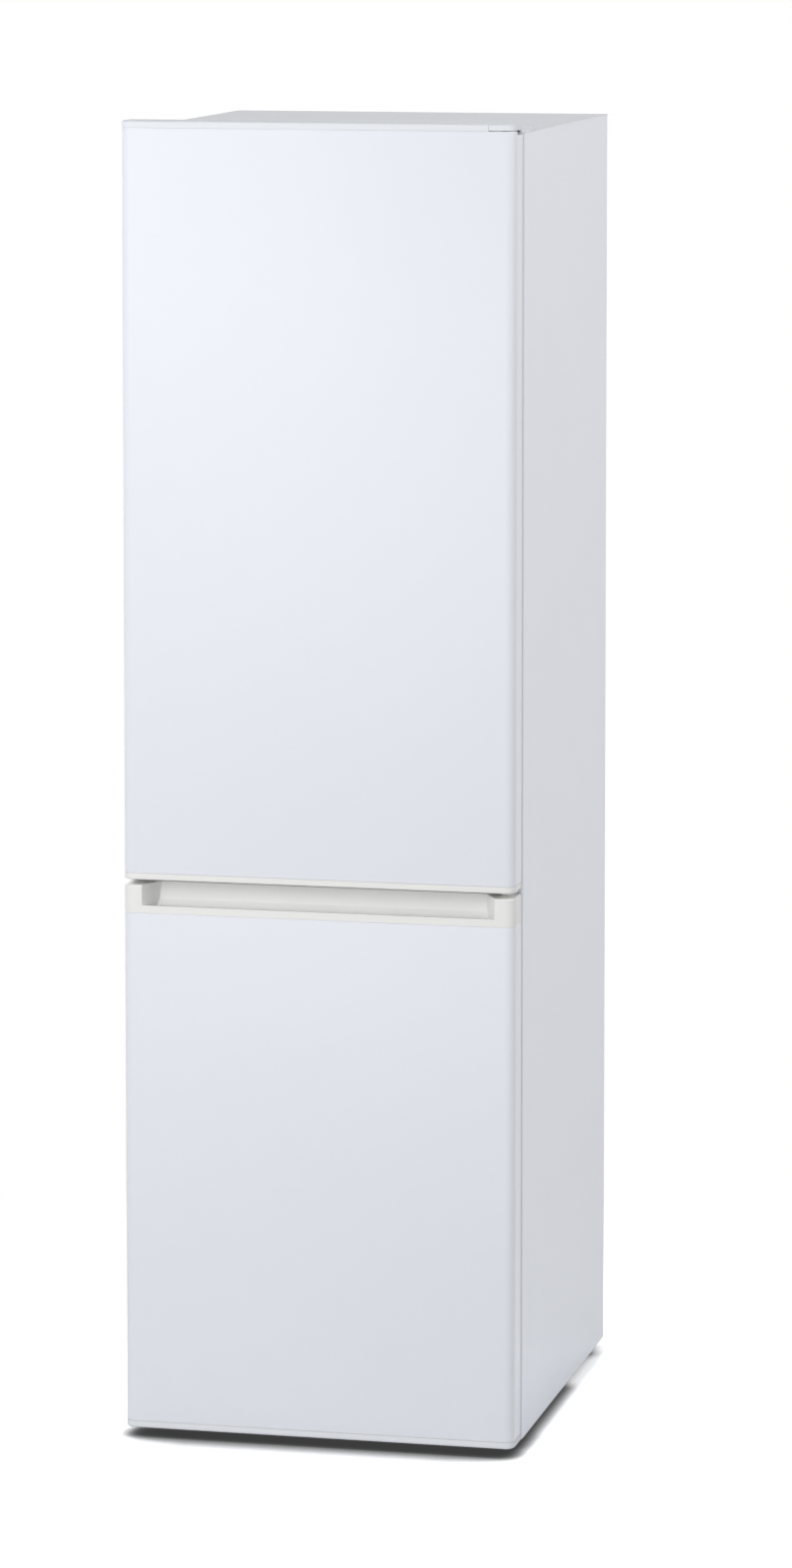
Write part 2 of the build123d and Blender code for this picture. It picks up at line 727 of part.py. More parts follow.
def pan_screw(shank):
    """Pan-head screw with its head on top, shank pointing down from zero."""
    profile = make_face(
        Polyline((0, HEAD), (HEAD_R * 0.6, HEAD)).edges()
        + [
            ThreePointArc((HEAD_R * 0.6, HEAD), (HEAD_R * 0.9, HEAD * 0.75), (HEAD_R, 0)),
        ]
        + Polyline((HEAD_R, 0), (SCREW_R, 0), (SCREW_R, -shank), (0, -shank), (0, HEAD)).edges()
    )
    screw = revolve(Plane.XZ * profile, Axis.Z)
    for turn in (0, 90):
        screw -= Pos(0, 0, HEAD) * Rot(0, 0, turn) * Box(HEAD_R * 1.1, HEAD_CROSS, HEAD_CROSS)
    return screw


def hinge_screws():
    """All screws of the three hinges."""
    mid = (UPPER_BOTTOM + LOWER_TOP) / 2
    front = Y_FACE - FLANGE_THICK
    under = FLOOR_GAP - HINGE_PLATE
    screws = [Pos(x, y, CABINET_TOP + HINGE_PLATE) * pan_screw(HINGE_PLATE) for x, y in TOP_SCREWS]
    screws += [Pos(x, front, mid) * Rot(90, 0, 0) * pan_screw(FLANGE_THICK) for x in MIDDLE_SCREWS]
    screws += [Pos(x, y, under) * Rot(180, 0, 0) * pan_screw(HINGE_PLATE) for x, y in BOTTOM_SCREWS]
    return screws


def hinge_bush(z, up):
    """Flanged bush; the flange faces the bracket, the sleeve runs into the door."""
    sleeve = Cylinder(BUSH_R, BUSH_LENGTH, align=(Align.CENTER, Align.CENTER, Align.MIN))
    collar = Pos(0, 0, -BUSH_FLANGE) * Cylinder(
        BUSH_FLANGE_R, BUSH_FLANGE, align=(Align.CENTER, Align.CENTER, Align.MIN)
    )
    bore = Cylinder(PIN_R + RUN_FIT, 3 * BUSH_LENGTH)
    bush = sleeve + collar - bore
    flip = Rot(0, 0, 0) if up else Rot(180, 0, 0)
    return Pos(HINGE_X, HINGE_Y, z) * flip * bush


def bush_bore(z, up):
    """Room that a bush takes in the door."""
    ends = (z, z + BUSH_LENGTH) if up else (z - BUSH_LENGTH, z)
    return upright(HINGE_X, HINGE_Y, BUSH_R, *ends)


# Doors


def door_outline(inset, back=Y_DOOR_BACK):
    """Plan of a door with rounded front corners."""
    outline = rect(-X_SIDE + inset, X_SIDE - inset, Y_FRONT + inset, back)
    return fillet(outline.vertices().group_by(Axis.Y)[0], CORNER_R - inset)


def door_skin(z0, z1):
    """Steel skin: front, both sides and the returns behind."""
    section = door_outline(0) - door_outline(SHEET, Y_DOOR_BACK - SHEET)
    section -= rect(-BACK_RETURN_X, BACK_RETURN_X, Y_DOOR_BACK - RETURN_CUT, Y_DOOR_BACK + RETURN_CUT)
    return rise(section, z0, z1)


def spigot(z0, z1):
    """Skirt of an end cap that plugs into the skin."""
    back = Y_DOOR_BACK - LINER
    outer = door_outline(SPIGOT_INSET, back)
    return rise(outer - door_outline(SPIGOT_INSET + SPIGOT_WALL, back - SPIGOT_WALL), z0, z1)


def bush_boss(z0, z1):
    """Block of the cap around a bush."""
    block = span(
        HINGE_X - BOSS_HALF, X_SIDE - SPIGOT_INSET, HINGE_Y - BOSS_HALF, Y_DOOR_BACK - LINER, z0, z1
    )
    return block & rise(door_outline(SPIGOT_INSET, Y_DOOR_BACK - LINER), z0 - CUT, z1 + CUT)


def soften_front(cap, z):
    """Round the outer front edge of a cap at the given height."""
    rim = []
    for edge in cap.edges():
        box = edge.bounding_box()
        level = abs(edge.center().Z - z) < EPS and box.size.Z < EPS
        in_front = box.min.Y < Y_FRONT + EPS
        at_side = max(-box.min.X, box.max.X) > X_SIDE - EPS and box.min.Y < Y_FRONT + CORNER_R + CUT
        if level and (in_front or at_side):
            rim.append(edge)
    return fillet(rim, CAP_EDGE_R)


def hinge_pocket():
    """Room in the upper door for the top hinge eye, open to the right and the back."""
    return span(POCKET_X, X_SIDE + CUT, POCKET_Y, Y_DOOR_BACK + CUT, POCKET_FLOOR, DOOR_TOP - CAP_BAND)


def skin_notch():
    """Slot in the skin through which the hinge blade swings out as the door opens."""
    low = CABINET_TOP - CORNER_CAP_GAP
    return span(POCKET_X, X_SIDE + CUT, POCKET_Y, Y_DOOR_BACK + CUT, low, DOOR_TOP - CAP_BAND + CUT)


def cap_slot():
    """Slot for the clip of the corner cap."""
    top = DOOR_TOP - CAP_BAND + CORNER_CAP_GAP
    return span(*CLIP, top - CLIP_TALL, top)


def upper_top_cap():
    """Top end cap with the hinge pocket at the right."""
    seam = DOOR_TOP - CAP_BAND
    cap = soften_front(rise(door_outline(0), seam, DOOR_TOP), DOOR_TOP)
    cap -= span(
        CORNER_CAP_X - CORNER_CAP_SPLIT, X_SIDE + CUT, Y_FRONT - CUT, Y_DOOR_BACK + CUT, seam, DOOR_TOP + CUT
    )
    cap += spigot(seam - SPIGOT, seam)
    low = POCKET_FLOOR - BUSH_LENGTH - BOSS_FLOOR
    block = span(POCKET_BLOCK_X, X_SIDE - SPIGOT_INSET, Y_FRONT, Y_DOOR_BACK - LINER, low, seam)
    cap += block & rise(door_outline(SPIGOT_INSET, Y_DOOR_BACK - LINER), low - CUT, seam + CUT)
    cap -= hinge_pocket()
    cap -= cap_slot()
    return cap - upright(HINGE_X, HINGE_Y, BUSH_R, low - CUT, POCKET_FLOOR + CUT)


def upper_hinge_cap():
    """Corner cap that closes the hinge pocket, clipped into the top cap."""
    low = DOOR_TOP - CAP_BAND + CORNER_CAP_GAP
    cap = soften_front(rise(door_outline(0), low, DOOR_TOP), DOOR_TOP)
    cap &= span(
        CORNER_CAP_X, X_SIDE + CUT, Y_FRONT - CUT, Y_DOOR_BACK + CUT, low - CUT, DOOR_TOP + CUT
    )
    return cap + cap_slot()


def grip_groove():
    """Groove under the upper door for the fingertips, behind a front lip."""
    roof = UPPER_BOTTOM + GROOVE_RISE
    section = polygon(
        (Y_FRONT + GROOVE_LIP, UPPER_BOTTOM - CUT),
        (Y_FRONT + GROOVE_LIP, roof),
        (Y_FRONT + GROOVE_BACK - GROOVE_SLANT, roof),
        (Y_FRONT + GROOVE_BACK, UPPER_BOTTOM - CUT),
    )
    section = fillet(section.vertices().group_by(Axis.Y)[-1], GROOVE_R)
    return across(section, GROOVE_X_LEFT, GROOVE_X_RIGHT)


def upper_bottom_cap():
    """Bottom end cap with the grip groove let into it."""
    seam = UPPER_BOTTOM + CAP_BAND
    cap = soften_front(rise(door_outline(0), UPPER_BOTTOM, seam), UPPER_BOTTOM)
    cap += rise(door_outline(SPIGOT_INSET, Y_DOOR_BACK - LINER), seam, UPPER_BOTTOM + PLUG_TALL)
    cap -= grip_groove()
    return cap - upright(HINGE_X, HINGE_Y, BUSH_R, UPPER_BOTTOM - CUT, UPPER_BOTTOM + BUSH_LENGTH)


def scoop():
    """Finger scoop: a hooked trough behind the lip, its ends running in at a slant."""
    lip = LOWER_TOP - GRIP_BAND + SCOOP_LIP
    hook = Y_FRONT + SCOOP_LIP_THICK
    floor = lip - SCOOP_SINK
    back = Y_FRONT + SCOOP_DEPTH
    knee_y, knee_z = SCOOP_KNEE
    section = polygon(
        (Y_FRONT - CUT, lip),
        (hook, lip),
        (hook + SCOOP_HOOK, floor),
        (back - SCOOP_HEEL, floor),
        (back - knee_y, lip + knee_z),
        (back, LOWER_TOP + CUT),
        (Y_FRONT - CUT, LOWER_TOP + CUT),
    )
    rounded = [v for v in section.vertices() if Y_FRONT < v.X < back - CUT]
    section = fillet(rounded, SCOOP_EDGE_R)
    plan = polygon(
        (-SCOOP_X_FRONT, Y_FRONT - CUT),
        (SCOOP_X_FRONT, Y_FRONT - CUT),
        (SCOOP_X_BACK, back + CUT),
        (-SCOOP_X_BACK, back + CUT),
    )
    plan = fillet(plan.vertices().group_by(Axis.Y)[-1], SCOOP_R)
    return across(section, -SCOOP_X_FRONT, SCOOP_X_FRONT) & rise(plan, floor - CUT, LOWER_TOP + 2 * CUT)


def lower_top_cap():
    """Top end cap of the lower door: ears at both ends and the scoop between."""
    seam = LOWER_TOP - GRIP_BAND
    cap = soften_front(rise(door_outline(0), seam, LOWER_TOP), LOWER_TOP)
    cap += spigot(seam - SPIGOT, seam)
    trough = span(
        -SCOOP_X_FRONT, SCOOP_X_FRONT, Y_FRONT + SCOOP_FRONT_WALL, Y_FRONT + SCOOP_DEPTH,
        seam + SCOOP_LIP - SCOOP_SINK - SCOOP_WALL, seam,
    )
    cap += trough
    cap -= scoop()
    return cap - upright(HINGE_X, HINGE_Y, BUSH_R, LOWER_TOP - BUSH_LENGTH, LOWER_TOP + CUT)


def lower_bottom_cap():
    """Plain bottom end cap with the bush boss."""
    seam = FLOOR_GAP + CAP_BAND
    cap = soften_front(rise(door_outline(0), FLOOR_GAP, seam), FLOOR_GAP)
    cap += spigot(seam, seam + SPIGOT)
    cap += bush_boss(seam, FLOOR_GAP + BUSH_LENGTH + BOSS_FLOOR)
    return cap - upright(HINGE_X, HINGE_Y, BUSH_R, FLOOR_GAP - CUT, FLOOR_GAP + BUSH_LENGTH)


def liner_sheet(z0, z1):
    """Flat part of a door liner between the skin's returns."""
    edge = BACK_RETURN_X - EPS
    return span(-edge, edge, Y_DOOR_BACK - LINER, Y_DOOR_BACK, z0, z1)


def ridge_form(shrink):
    """Raised frame of the upper door liner, shrunk by a wall thickness for its filling."""
    low, high = RIDGE_Z
    mid = (low + high) / 2
    outer = RectangleRounded(2 * (RIDGE_X - shrink), high - low - 2 * shrink, RIDGE_R - shrink)
    inner = RectangleRounded(
        2 * (RIDGE_X - RIDGE_WIDE + shrink), high - low - 2 * (RIDGE_WIDE - shrink), RIDGE_INNER_R + shrink
    )
    start = Y_DOOR_BACK - LINER if shrink else Y_DOOR_BACK
    body = rearward(Pos(0, mid) * (outer - inner), start, Y_DOOR_BACK + RIDGE_DEEP - shrink)
    crown = body.faces().sort_by(Axis.Y)[-1].edges()
    return fillet(crown, RIDGE_CROWN_R - shrink)


def plateau_form(shrink):
    """Raised field of the lower door liner, shrunk by a wall thickness for its filling."""
    low, high = PLATEAU_Z
    mid = (low + high) / 2
    field = RectangleRounded(2 * (PLATEAU_X - shrink), high - low - 2 * shrink, PLATEAU_R - shrink)
    start = Y_DOOR_BACK - LINER if shrink else Y_DOOR_BACK
    body = rearward(Pos(0, mid) * field, start, Y_DOOR_BACK + PLATEAU_DEEP - shrink)
    return fillet(body.faces().sort_by(Axis.Y)[-1].edges(), PLATEAU_CROWN_R - shrink)


def bin_lugs():
    """Hooks on the ridge's inner faces that carry the bins."""
    inner = RIDGE_X - RIDGE_WIDE
    lugs = []
    for floor, tall in BINS.values():
        for side in (-1, 1):
            low, high = sorted((side * (inner - LUG_LENGTH), side * (inner + CUT)))
            top = floor + tall - LUG_DROP
            lug = span(low, high, *LUG_Y, top - LUG_TALL, top)
            lugs.append(fillet(lug.edges().filter_by(Axis.X), LUG_R))
    return lugs


def upper_liner():
    """Formed inner liner with the raised frame and the bin lugs."""
    liner = liner_sheet(UPPER_BOTTOM + CAP_BAND, DOOR_TOP - CAP_BAND) + ridge_form(0) - ridge_form(LINER)
    for lug in bin_lugs():
        liner += lug
    return liner - hinge_pocket()


def lower_liner():
    """Formed inner liner with the raised field."""
    return liner_sheet(FLOOR_GAP + CAP_BAND, LOWER_TOP - GRIP_BAND) + plateau_form(0) - plateau_form(LINER)


def gasket(low, high):
    """Bellows gasket swept round the door."""
    line = Wire(
        Polyline(
            (0, Y_DOOR_BACK, low),
            (GASKET_X, Y_DOOR_BACK, low),
            (GASKET_X, Y_DOOR_BACK, high),
            (-GASKET_X, Y_DOOR_BACK, high),
            (-GASKET_X, Y_DOOR_BACK, low),
            close=True,
        ).edges()
    )
    half, waist, lip = GASKET_HALF, GASKET_WAIST, GASKET_HALF - GASKET_CHAMFER
    foot, fold, head = (GASKET_THICK * share for share in GASKET_FOLDS)
    face = GASKET_THICK
    flank = [(0, half), (foot, half), (fold, waist), (head, half), (face - GASKET_CHAMFER, half), (face, lip)]
    section = polygon(*[(deep, -wide) for deep, wide in flank], *reversed(flank))
    plane = Plane(origin=(0, Y_DOOR_BACK, low), x_dir=(0, 1, 0), z_dir=(1, 0, 0))
    return sweep(plane * section, line, transition=Transition.RIGHT)


def door_foam(z0, z1, filling, parts):
    """Foam inside a door: between skin, liner and end caps."""
    foam = rise(door_outline(SHEET, Y_DOOR_BACK - LINER), z0, z1) + filling
    for part in parts:
        foam -= part
    return foam


def door_bin(floor, tall):
    """Open tray with a rounded front rail, notched over its lugs."""
    top = floor + tall
    y0 = Y_DOOR_BACK + BIN_GAP
    y1 = y0 + BIN_DEEP
    plan = rect(-BIN_X, BIN_X, y0, y1)
    plan = fillet(plan.vertices().group_by(Axis.Y)[-1], BIN_R)
    body = rise(plan, floor, top)
    body = fillet(body.faces().sort_by(Axis.Z)[0].edges(), BIN_FLOOR_R)
    room = rect(-BIN_X + BIN_WALL, BIN_X - BIN_WALL, y0 + BIN_WALL, y1 - BIN_WALL)
    room = fillet(room.vertices().group_by(Axis.Y)[-1], BIN_R - BIN_WALL)
    room = rise(room, floor + BIN_WALL, top + CUT)
    room = fillet(room.faces().sort_by(Axis.Z)[0].edges(), BIN_ROOM_R)
    toe, head, share = BIN_DIP
    low = floor + tall * share
    dip = polygon((y0 - CUT, low), (y0 + toe, low), (y0 + head, top + CUT), (y0 - CUT, top + CUT))
    dip = fillet(dip.vertices().group_by(Axis.X)[1], BIN_DIP_R)
    return body - room - across(dip, -BIN_X + BIN_END, BIN_X - BIN_END) + door_bin_rail(y1, top)


def door_bin_rail(y, top):
    """Bead along the bin's inner edge."""
    bead = BIN_BEAD_R
    return Pos(0, y - bead, top - bead) * Rot(0, 90, 0) * Cylinder(bead, 2 * (BIN_X - BIN_END))


# Fridge interior


def glass_shelves():
    """Toughened glass plates on the liner's ribs; the lowest covers the crisper."""
    plates = []
    for top in SHELF_TOPS:
        plate = span(-SHELF_X, SHELF_X, SHELF_FRONT, SHELF_BACK, top, top + GLASS)
        plates.append(fillet(plate.edges().filter_by(Axis.Z), PLATE_R))
    return plates


def shelf_trims():
    """Front nosing and raised rear edge of every shelf."""
    trims = []
    reach = SHELF_X - RIB_DEEP
    rear = SHELF_BACK + STOP_OUT
    for top in SHELF_TOPS:
        under, over = top - TRIM_LAP, top + GLASS + TRIM_LAP
        nose = rect(SHELF_FRONT - NOSE_OUT, SHELF_FRONT + NOSE_IN, under, over)
        nose = fillet(nose.vertices().group_by(Axis.X)[0], NOSE_R)
        nose -= rect(SHELF_FRONT, SHELF_FRONT + NOSE_IN + CUT, top, top + GLASS)
        stop = polygon(
            (SHELF_BACK - STOP_IN, under), (rear, under), (rear, over + STOP_TALL),
            (rear - STOP_LIP, over + STOP_TALL), (SHELF_BACK, over), (SHELF_BACK - STOP_IN, over),
        )
        stop -= rect(SHELF_BACK - STOP_IN - CUT, SHELF_BACK, top, top + GLASS)
        trims += [across(nose, -reach, reach), across(stop, -reach, reach)]
    return trims


def control_housing():
    """Ceiling box for thermostat and lamp, hollow from above."""
    y0, y1 = CONTROL_Y
    low = FRIDGE_CEILING - CONTROL_TALL
    section = polygon(
        (y0, FRIDGE_CEILING), (y0, low + CONTROL_BEVEL), (y0 + CONTROL_BEVEL, low),
        (y1 - CONTROL_SLANT, low), (y1, FRIDGE_CEILING),
    )
    section = fillet(section.vertices().group_by(Axis.Y)[0], CONTROL_R)
    box = across(section, -CONTROL_X, CONTROL_X)
    inner = CONTROL_X - CONTROL_WALL
    box -= span(
        -inner, inner, y0 + CONTROL_WALL, y1 - CONTROL_SLANT - CONTROL_BEVEL,
        low + CONTROL_FLOOR, FRIDGE_CEILING + CUT,
    )
    box -= lamp_lens()
    return box - knob_bar(KNOB_SHAFT_R + RUN_FIT, y0 - CUT, y0 + CONTROL_WALL + CUT)


def knob_bar(radius, y0, y1):
    """Round bar on the knob's axis."""
    return Pos(KNOB_X, (y0 + y1) / 2, KNOB_Z) * Rot(90, 0, 0) * Cylinder(radius, y1 - y0)


def control_knob():
    """Thermostat knob: shaft, dial and grip bar."""
    y0 = CONTROL_Y[0]
    dial = knob_bar(KNOB_R, y0 - KNOB_DIAL, y0 - SLIDE_GAP)
    dial = fillet(dial.faces().sort_by(Axis.Y)[0].edges(), KNOB_EDGE_R)
    half = KNOB_R - CUT
    grip = span(
        KNOB_X - KNOB_GRIP_HALF, KNOB_X + KNOB_GRIP_HALF, y0 - KNOB_GRIP, y0 - KNOB_DIAL + CUT,
        KNOB_Z - half, KNOB_Z + half,
    )
    grip = fillet(grip.faces().sort_by(Axis.Y)[0].edges(), KNOB_GRIP_R)
    return dial + grip + knob_bar(KNOB_SHAFT_R, y0 - 2 * CUT, y0 + KNOB_SHAFT)


def lamp_lens():
    """Diffuser let into the underside of the control housing."""
    low = FRIDGE_CEILING - CONTROL_TALL
    lens = span(*LENS_PLAN, low - LENS_DROP, low + LENS_SEAT)
    lens = fillet(lens.edges().filter_by(Axis.Z), LENS_R)
    return fillet(lens.faces().sort_by(Axis.Z)[0].edges(), LENS_EDGE_R)


def fridge_duct():
    """Raised air duct on the rear wall with an outlet above every shelf."""
    low, high = DUCT_Z
    face = FRIDGE_BACK - DUCT_DEEP
    duct = span(-DUCT_X, DUCT_X, face, FRIDGE_BACK, low, high)
    duct = fillet(duct.edges().filter_by(Axis.Y), DUCT_R)
    duct = fillet(duct.faces().sort_by(Axis.Y)[0].edges(), DUCT_EDGE_R)
    for top in SHELF_TOPS:
        for row in OUTLET_ROWS:
            duct -= rearward(Pos(0, top + row) * SlotOverall(*OUTLET), face - CUT, FRIDGE_BACK - DUCT_BACK)
    return duct


def drawer(front, back, low, high):
    """Open drawer with drafted walls, a front panel and a pull slot."""
    rim = high - DRAWER_FREEBOARD

    def level(inset, corner, z):
        """Plan of the drawer at one height, drawn in from its widest outline."""
        outline = RectangleRounded(2 * (DRAWER_X - inset), back - front - 2 * inset, corner)
        return Pos(0, (front + back) / 2, z) * outline

    wall = DRAWER_WALL
    body = loft([level(DRAWER_DRAFT, DRAWER_R, low), level(DRAWER_LEAN, DRAWER_R, rim)])
    room = loft(
        [
            level(DRAWER_DRAFT + wall, DRAWER_R - wall, low + wall),
            level(DRAWER_LEAN + wall, DRAWER_R - wall, rim + CUT),
        ]
    )
    face = span(-DRAWER_X, DRAWER_X, front - FACE_OUT, front + FACE_IN, low, high)
    face = fillet(face.edges().filter_by(Axis.Y), FACE_R)
    face = fillet(face.faces().sort_by(Axis.Y)[0].edges(), FACE_EDGE_R)
    pull = Pos(0, high - PULL_DROP) * RectangleRounded(*PULL)
    return body + face - room - rearward(pull, front - FACE_OUT - CUT, front + PULL_REACH)


# Cold air parts


def round_y(x, z, radius, y0, y1):
    """Round bar along Y."""
    return Pos(x, (y0 + y1) / 2, z) * Rot(90, 0, 0) * Cylinder(radius, y1 - y0)


def freezer_duct():
    """Panel between the drawers and the evaporator, with the fan ring and air slots."""
    low, high = STEP_Z + DUCT_EDGE, FREEZER_CEILING - DUCT_EDGE
    edge = CAVITY_X - DUCT_EDGE
    bore, ring = FAN_RING
    panel = span(-edge, edge, DUCT_Y, DUCT_Y + DUCT_PANEL, low, high)
    panel = fillet(panel.edges().filter_by(Axis.Y), DUCT_PANEL_R)
    panel += round_y(0, FAN_Z, ring, DUCT_Y, DUCT_Y + FAN_RING_DEEP)
    panel -= round_y(0, FAN_Z, bore, DUCT_Y - CUT, DUCT_Y + FAN_RING_DEEP + CUT)
    rows, first, pitch = LOW_SLOTS
    slots = [Pos(0, low + first + pitch * row) * SlotOverall(*LOW_SLOT) for row in range(rows)]
    slots += [Pos(side * SIDE_SLOT_X, FAN_Z) * SlotOverall(*SIDE_SLOT) for side in (-1, 1)]
    for slot in slots:
        panel -= rearward(slot, DUCT_Y - CUT, DUCT_Y + DUCT_PANEL + CUT)
    for arm in range(FAN_ARMS):
        spoke = span(-SPOKE, SPOKE, 0, SPOKE, 0, FAN_R + SPOKE)
        panel += Pos(0, DUCT_Y, FAN_Z) * Rot(0, 360 / FAN_ARMS * arm, 0) * spoke
    return panel


def fan_rotor():
    """Axial rotor with twisted blades on a hub."""
    hub = fillet(round_y(0, 0, HUB_R, 0, HUB_DEEP).faces().sort_by(Axis.Y)[0].edges(), HUB_NOSE_R)
    hub -= round_y(0, 0, SPINDLE_R + RUN_FIT, HUB_WALL, HUB_DEEP + CUT)
    ends = []
    for radius, pitch, chord, thick in (BLADE_ROOT, BLADE_TIP):
        ends.append(Pos(0, HUB_DEEP / 2, radius) * Rot(0, 0, pitch) * Rectangle(chord, thick))
    blade = loft(ends)
    rotor = hub
    for turn in range(BLADES):
        rotor += Rot(0, 360 / BLADES * turn, 0) * blade
    return Pos(0, HUB_FRONT, FAN_Z) * rotor


def fan_motor():
    """Fan motor behind the rotor, carried by three arms on the ring."""
    motor = fillet(round_y(0, 0, MOTOR_R, 0, MOTOR_DEEP).faces().sort_by(Axis.Y)[-1].edges(), MOTOR_EDGE_R)
    motor += round_y(0, 0, SPINDLE_R, *SPINDLE)
    bar = span(-ARM_HALF, ARM_HALF, *ARM_Y, ARM_ROOT, FAN_RING[1])
    for arm in range(FAN_ARMS):
        motor += Rot(0, 360 / FAN_ARMS * (arm + 0.5), 0) * bar
    return Pos(0, MOTOR_Y, FAN_Z) * motor


def evaporator():
    """Finned coil: one serpentine pipe through a stack of fins."""
    low, high = COIL_Z
    pitch = (high - low - 2 * COIL_EDGE) / (COIL_ROWS - 1)
    points = []
    for row in range(COIL_ROWS):
        z = low + COIL_EDGE + pitch * row
        ends = (-COIL_X, COIL_X) if row % 2 == 0 else (COIL_X, -COIL_X)
        points += [(ends[0], COIL_Y, z), (ends[1], COIL_Y, z)]
    coil = tube(COIL_PIPE_R, pitch * COIL_BEND, *points)
    first = -COIL_X + FIN_INSET
    for fin in range(FINS):
        x = first - 2 * first / (FINS - 1) * fin
        coil += span(x - FIN_HALF, x + FIN_HALF, COIL_Y - FIN_DEEP, COIL_Y + FIN_DEEP, low, high)
    return coil


def condenser_coil():
    """Serpentine pipe behind the right side panel."""
    x = X_SIDE - SHEET - CONDENSER_ROOM
    points = []
    for run in range(CONDENSER_PASSES):
        y = CONDENSER_Y + CONDENSER_PITCH * run
        ends = CONDENSER_Z if run % 2 == 0 else CONDENSER_Z[::-1]
        points += [(x, y, z) for z in ends]
    return tube(CONDENSER_PIPE_R, CONDENSER_PITCH * COIL_BEND, *points)


# Stands and compressor


def levelling_foot(side):
    """Screw foot: rounded pad with a knurled edge and a threaded stem."""
    foot = revolve(Plane.XZ * polygon(*FOOT_PROFILE), Axis.Z)
    for notch in range(FOOT_NOTCHES):
        turn = radians(360 / FOOT_NOTCHES * notch)
        foot -= upright(FOOT_R * cos(turn), FOOT_R * sin(turn), FOOT_NOTCH_R, -CUT, FOOT_NOTCH_TOP)
    return Pos(side * FOOT_X, FOOT_Y, 0) * foot


def round_x(x0, x1, y, z, radius):
    """Round bar along X."""
    return Pos((x0 + x1) / 2, y, z) * Rot(0, 90, 0) * Cylinder(radius, x1 - x0)


def compressor_deck():
    """Cross plate for the compressor with a roller fork at each end."""
    thick = DECK_THICK
    inner = X_SIDE - SHEET
    front, back = DECK_Y
    deck = span(-inner, inner, front, back, DECK_Z - thick, DECK_Z)
    for y in (front, back - thick):
        deck += span(-DECK_FLANGE_X, DECK_FLANGE_X, y, y + thick, DECK_FLANGE_Z, DECK_Z)
    tab = rect(ROLLER_Y - FORK_HALF, ROLLER_Y + FORK_HALF, FORK_LOW, DECK_Z - thick / 2)
    tab = fillet(tab.vertices().group_by(Axis.Y)[0], FORK_R)
    cheek = ROLLER_HALF + FORK_GAP
    for x in (-ROLLER_X, ROLLER_X):
        deck += across(tab, x - cheek - thick, x - cheek) + across(tab, x + cheek, x + cheek + thick)
        reach = cheek + 2 * thick
        deck -= round_x(x - reach, x + reach, ROLLER_Y, ROLLER_R, AXLE_R)
    for dx, dy in MOUNT_SPOTS:
        deck -= upright(PUMP_X + dx, PUMP_Y + dy, MOUNT_BORE, DECK_Z - thick - CUT, DECK_Z + CUT)
    return deck


def roller(side):
    """Rear roller with a rounded tread."""
    bore = AXLE_R + RUN_FIT
    profile = rect(-ROLLER_HALF, ROLLER_HALF, bore, ROLLER_R)
    profile = chamfer(profile.vertices().group_by(Axis.Y)[-1], ROLLER_CHAMFER)
    wheel = revolve(profile, Axis.X)
    return Pos(side * ROLLER_X, ROLLER_Y, ROLLER_R) * Rot(90, 0, 0) * wheel


def roller_axles():
    """Fixed axle pins of the rollers."""
    reach = ROLLER_HALF + AXLE_OVER
    return [
        round_x(side * ROLLER_X - reach, side * ROLLER_X + reach, ROLLER_Y, ROLLER_R, AXLE_R)
        for side in (-1, 1)
    ]


def compressor():
    """Hermetic shell of two pressed bowls with a weld flange, standing on a foot plate."""
    profile = polygon(*PUMP_PROFILE)
    bowl = [v for v in profile.vertices() if 0 < v.X < PUMP_R - CUT - EPS and v.Y < PUMP_TOP - CUT]
    profile = fillet(bowl, PUMP_BOWL_R)
    shell = revolve(Plane.XZ * profile, Axis.Z)
    plate = RectangleRounded(*PUMP_PLATE)
    for dx, dy in MOUNT_SPOTS:
        plate -= Pos(dx, dy) * Circle(MOUNT_BORE)
    foot = rise(plate, PUMP_FOOT_Z, PUMP_FOOT_Z + PUMP_PLATE_THICK)
    return Pos(PUMP_X, PUMP_Y, 0) * (shell + foot)


def compressor_mounts():
    """Rubber mounts between deck and compressor foot."""
    mount = revolve(Plane.XZ * polygon(*MOUNT_PROFILE), Axis.Z)
    return [Pos(PUMP_X + dx, PUMP_Y + dy, 0) * mount for dx, dy in MOUNT_SPOTS]


def terminal_cover():
    """Plastic cover of the starter relay on the compressor's side."""
    cover = fillet(span(*RELAY).edges().filter_by(Axis.X), RELAY_R)
    cover = fillet(cover.faces().sort_by(Axis.X)[-1].edges(), RELAY_EDGE_R)
    return cover - compressor()


def drip_tray():
    """Shallow evaporation tray on top of the compressor."""
    def level(size, inset, z):
        """Rounded outline of the tray at one height."""
        wide, deep, corner = size
        return Pos(PUMP_X, TRAY_Y, z) * RectangleRounded(wide - 2 * inset, deep - 2 * inset, corner - inset)

    top = PUMP_TOP + TRAY_TALL
    floor = PUMP_TOP + TRAY_WALL
    outer = loft([level(TRAY_FLOOR, 0, PUMP_TOP), level(TRAY_MOUTH, 0, top)])
    return outer - loft([level(TRAY_FLOOR, TRAY_WALL, floor), level(TRAY_MOUTH, TRAY_WALL, top + EPS)])


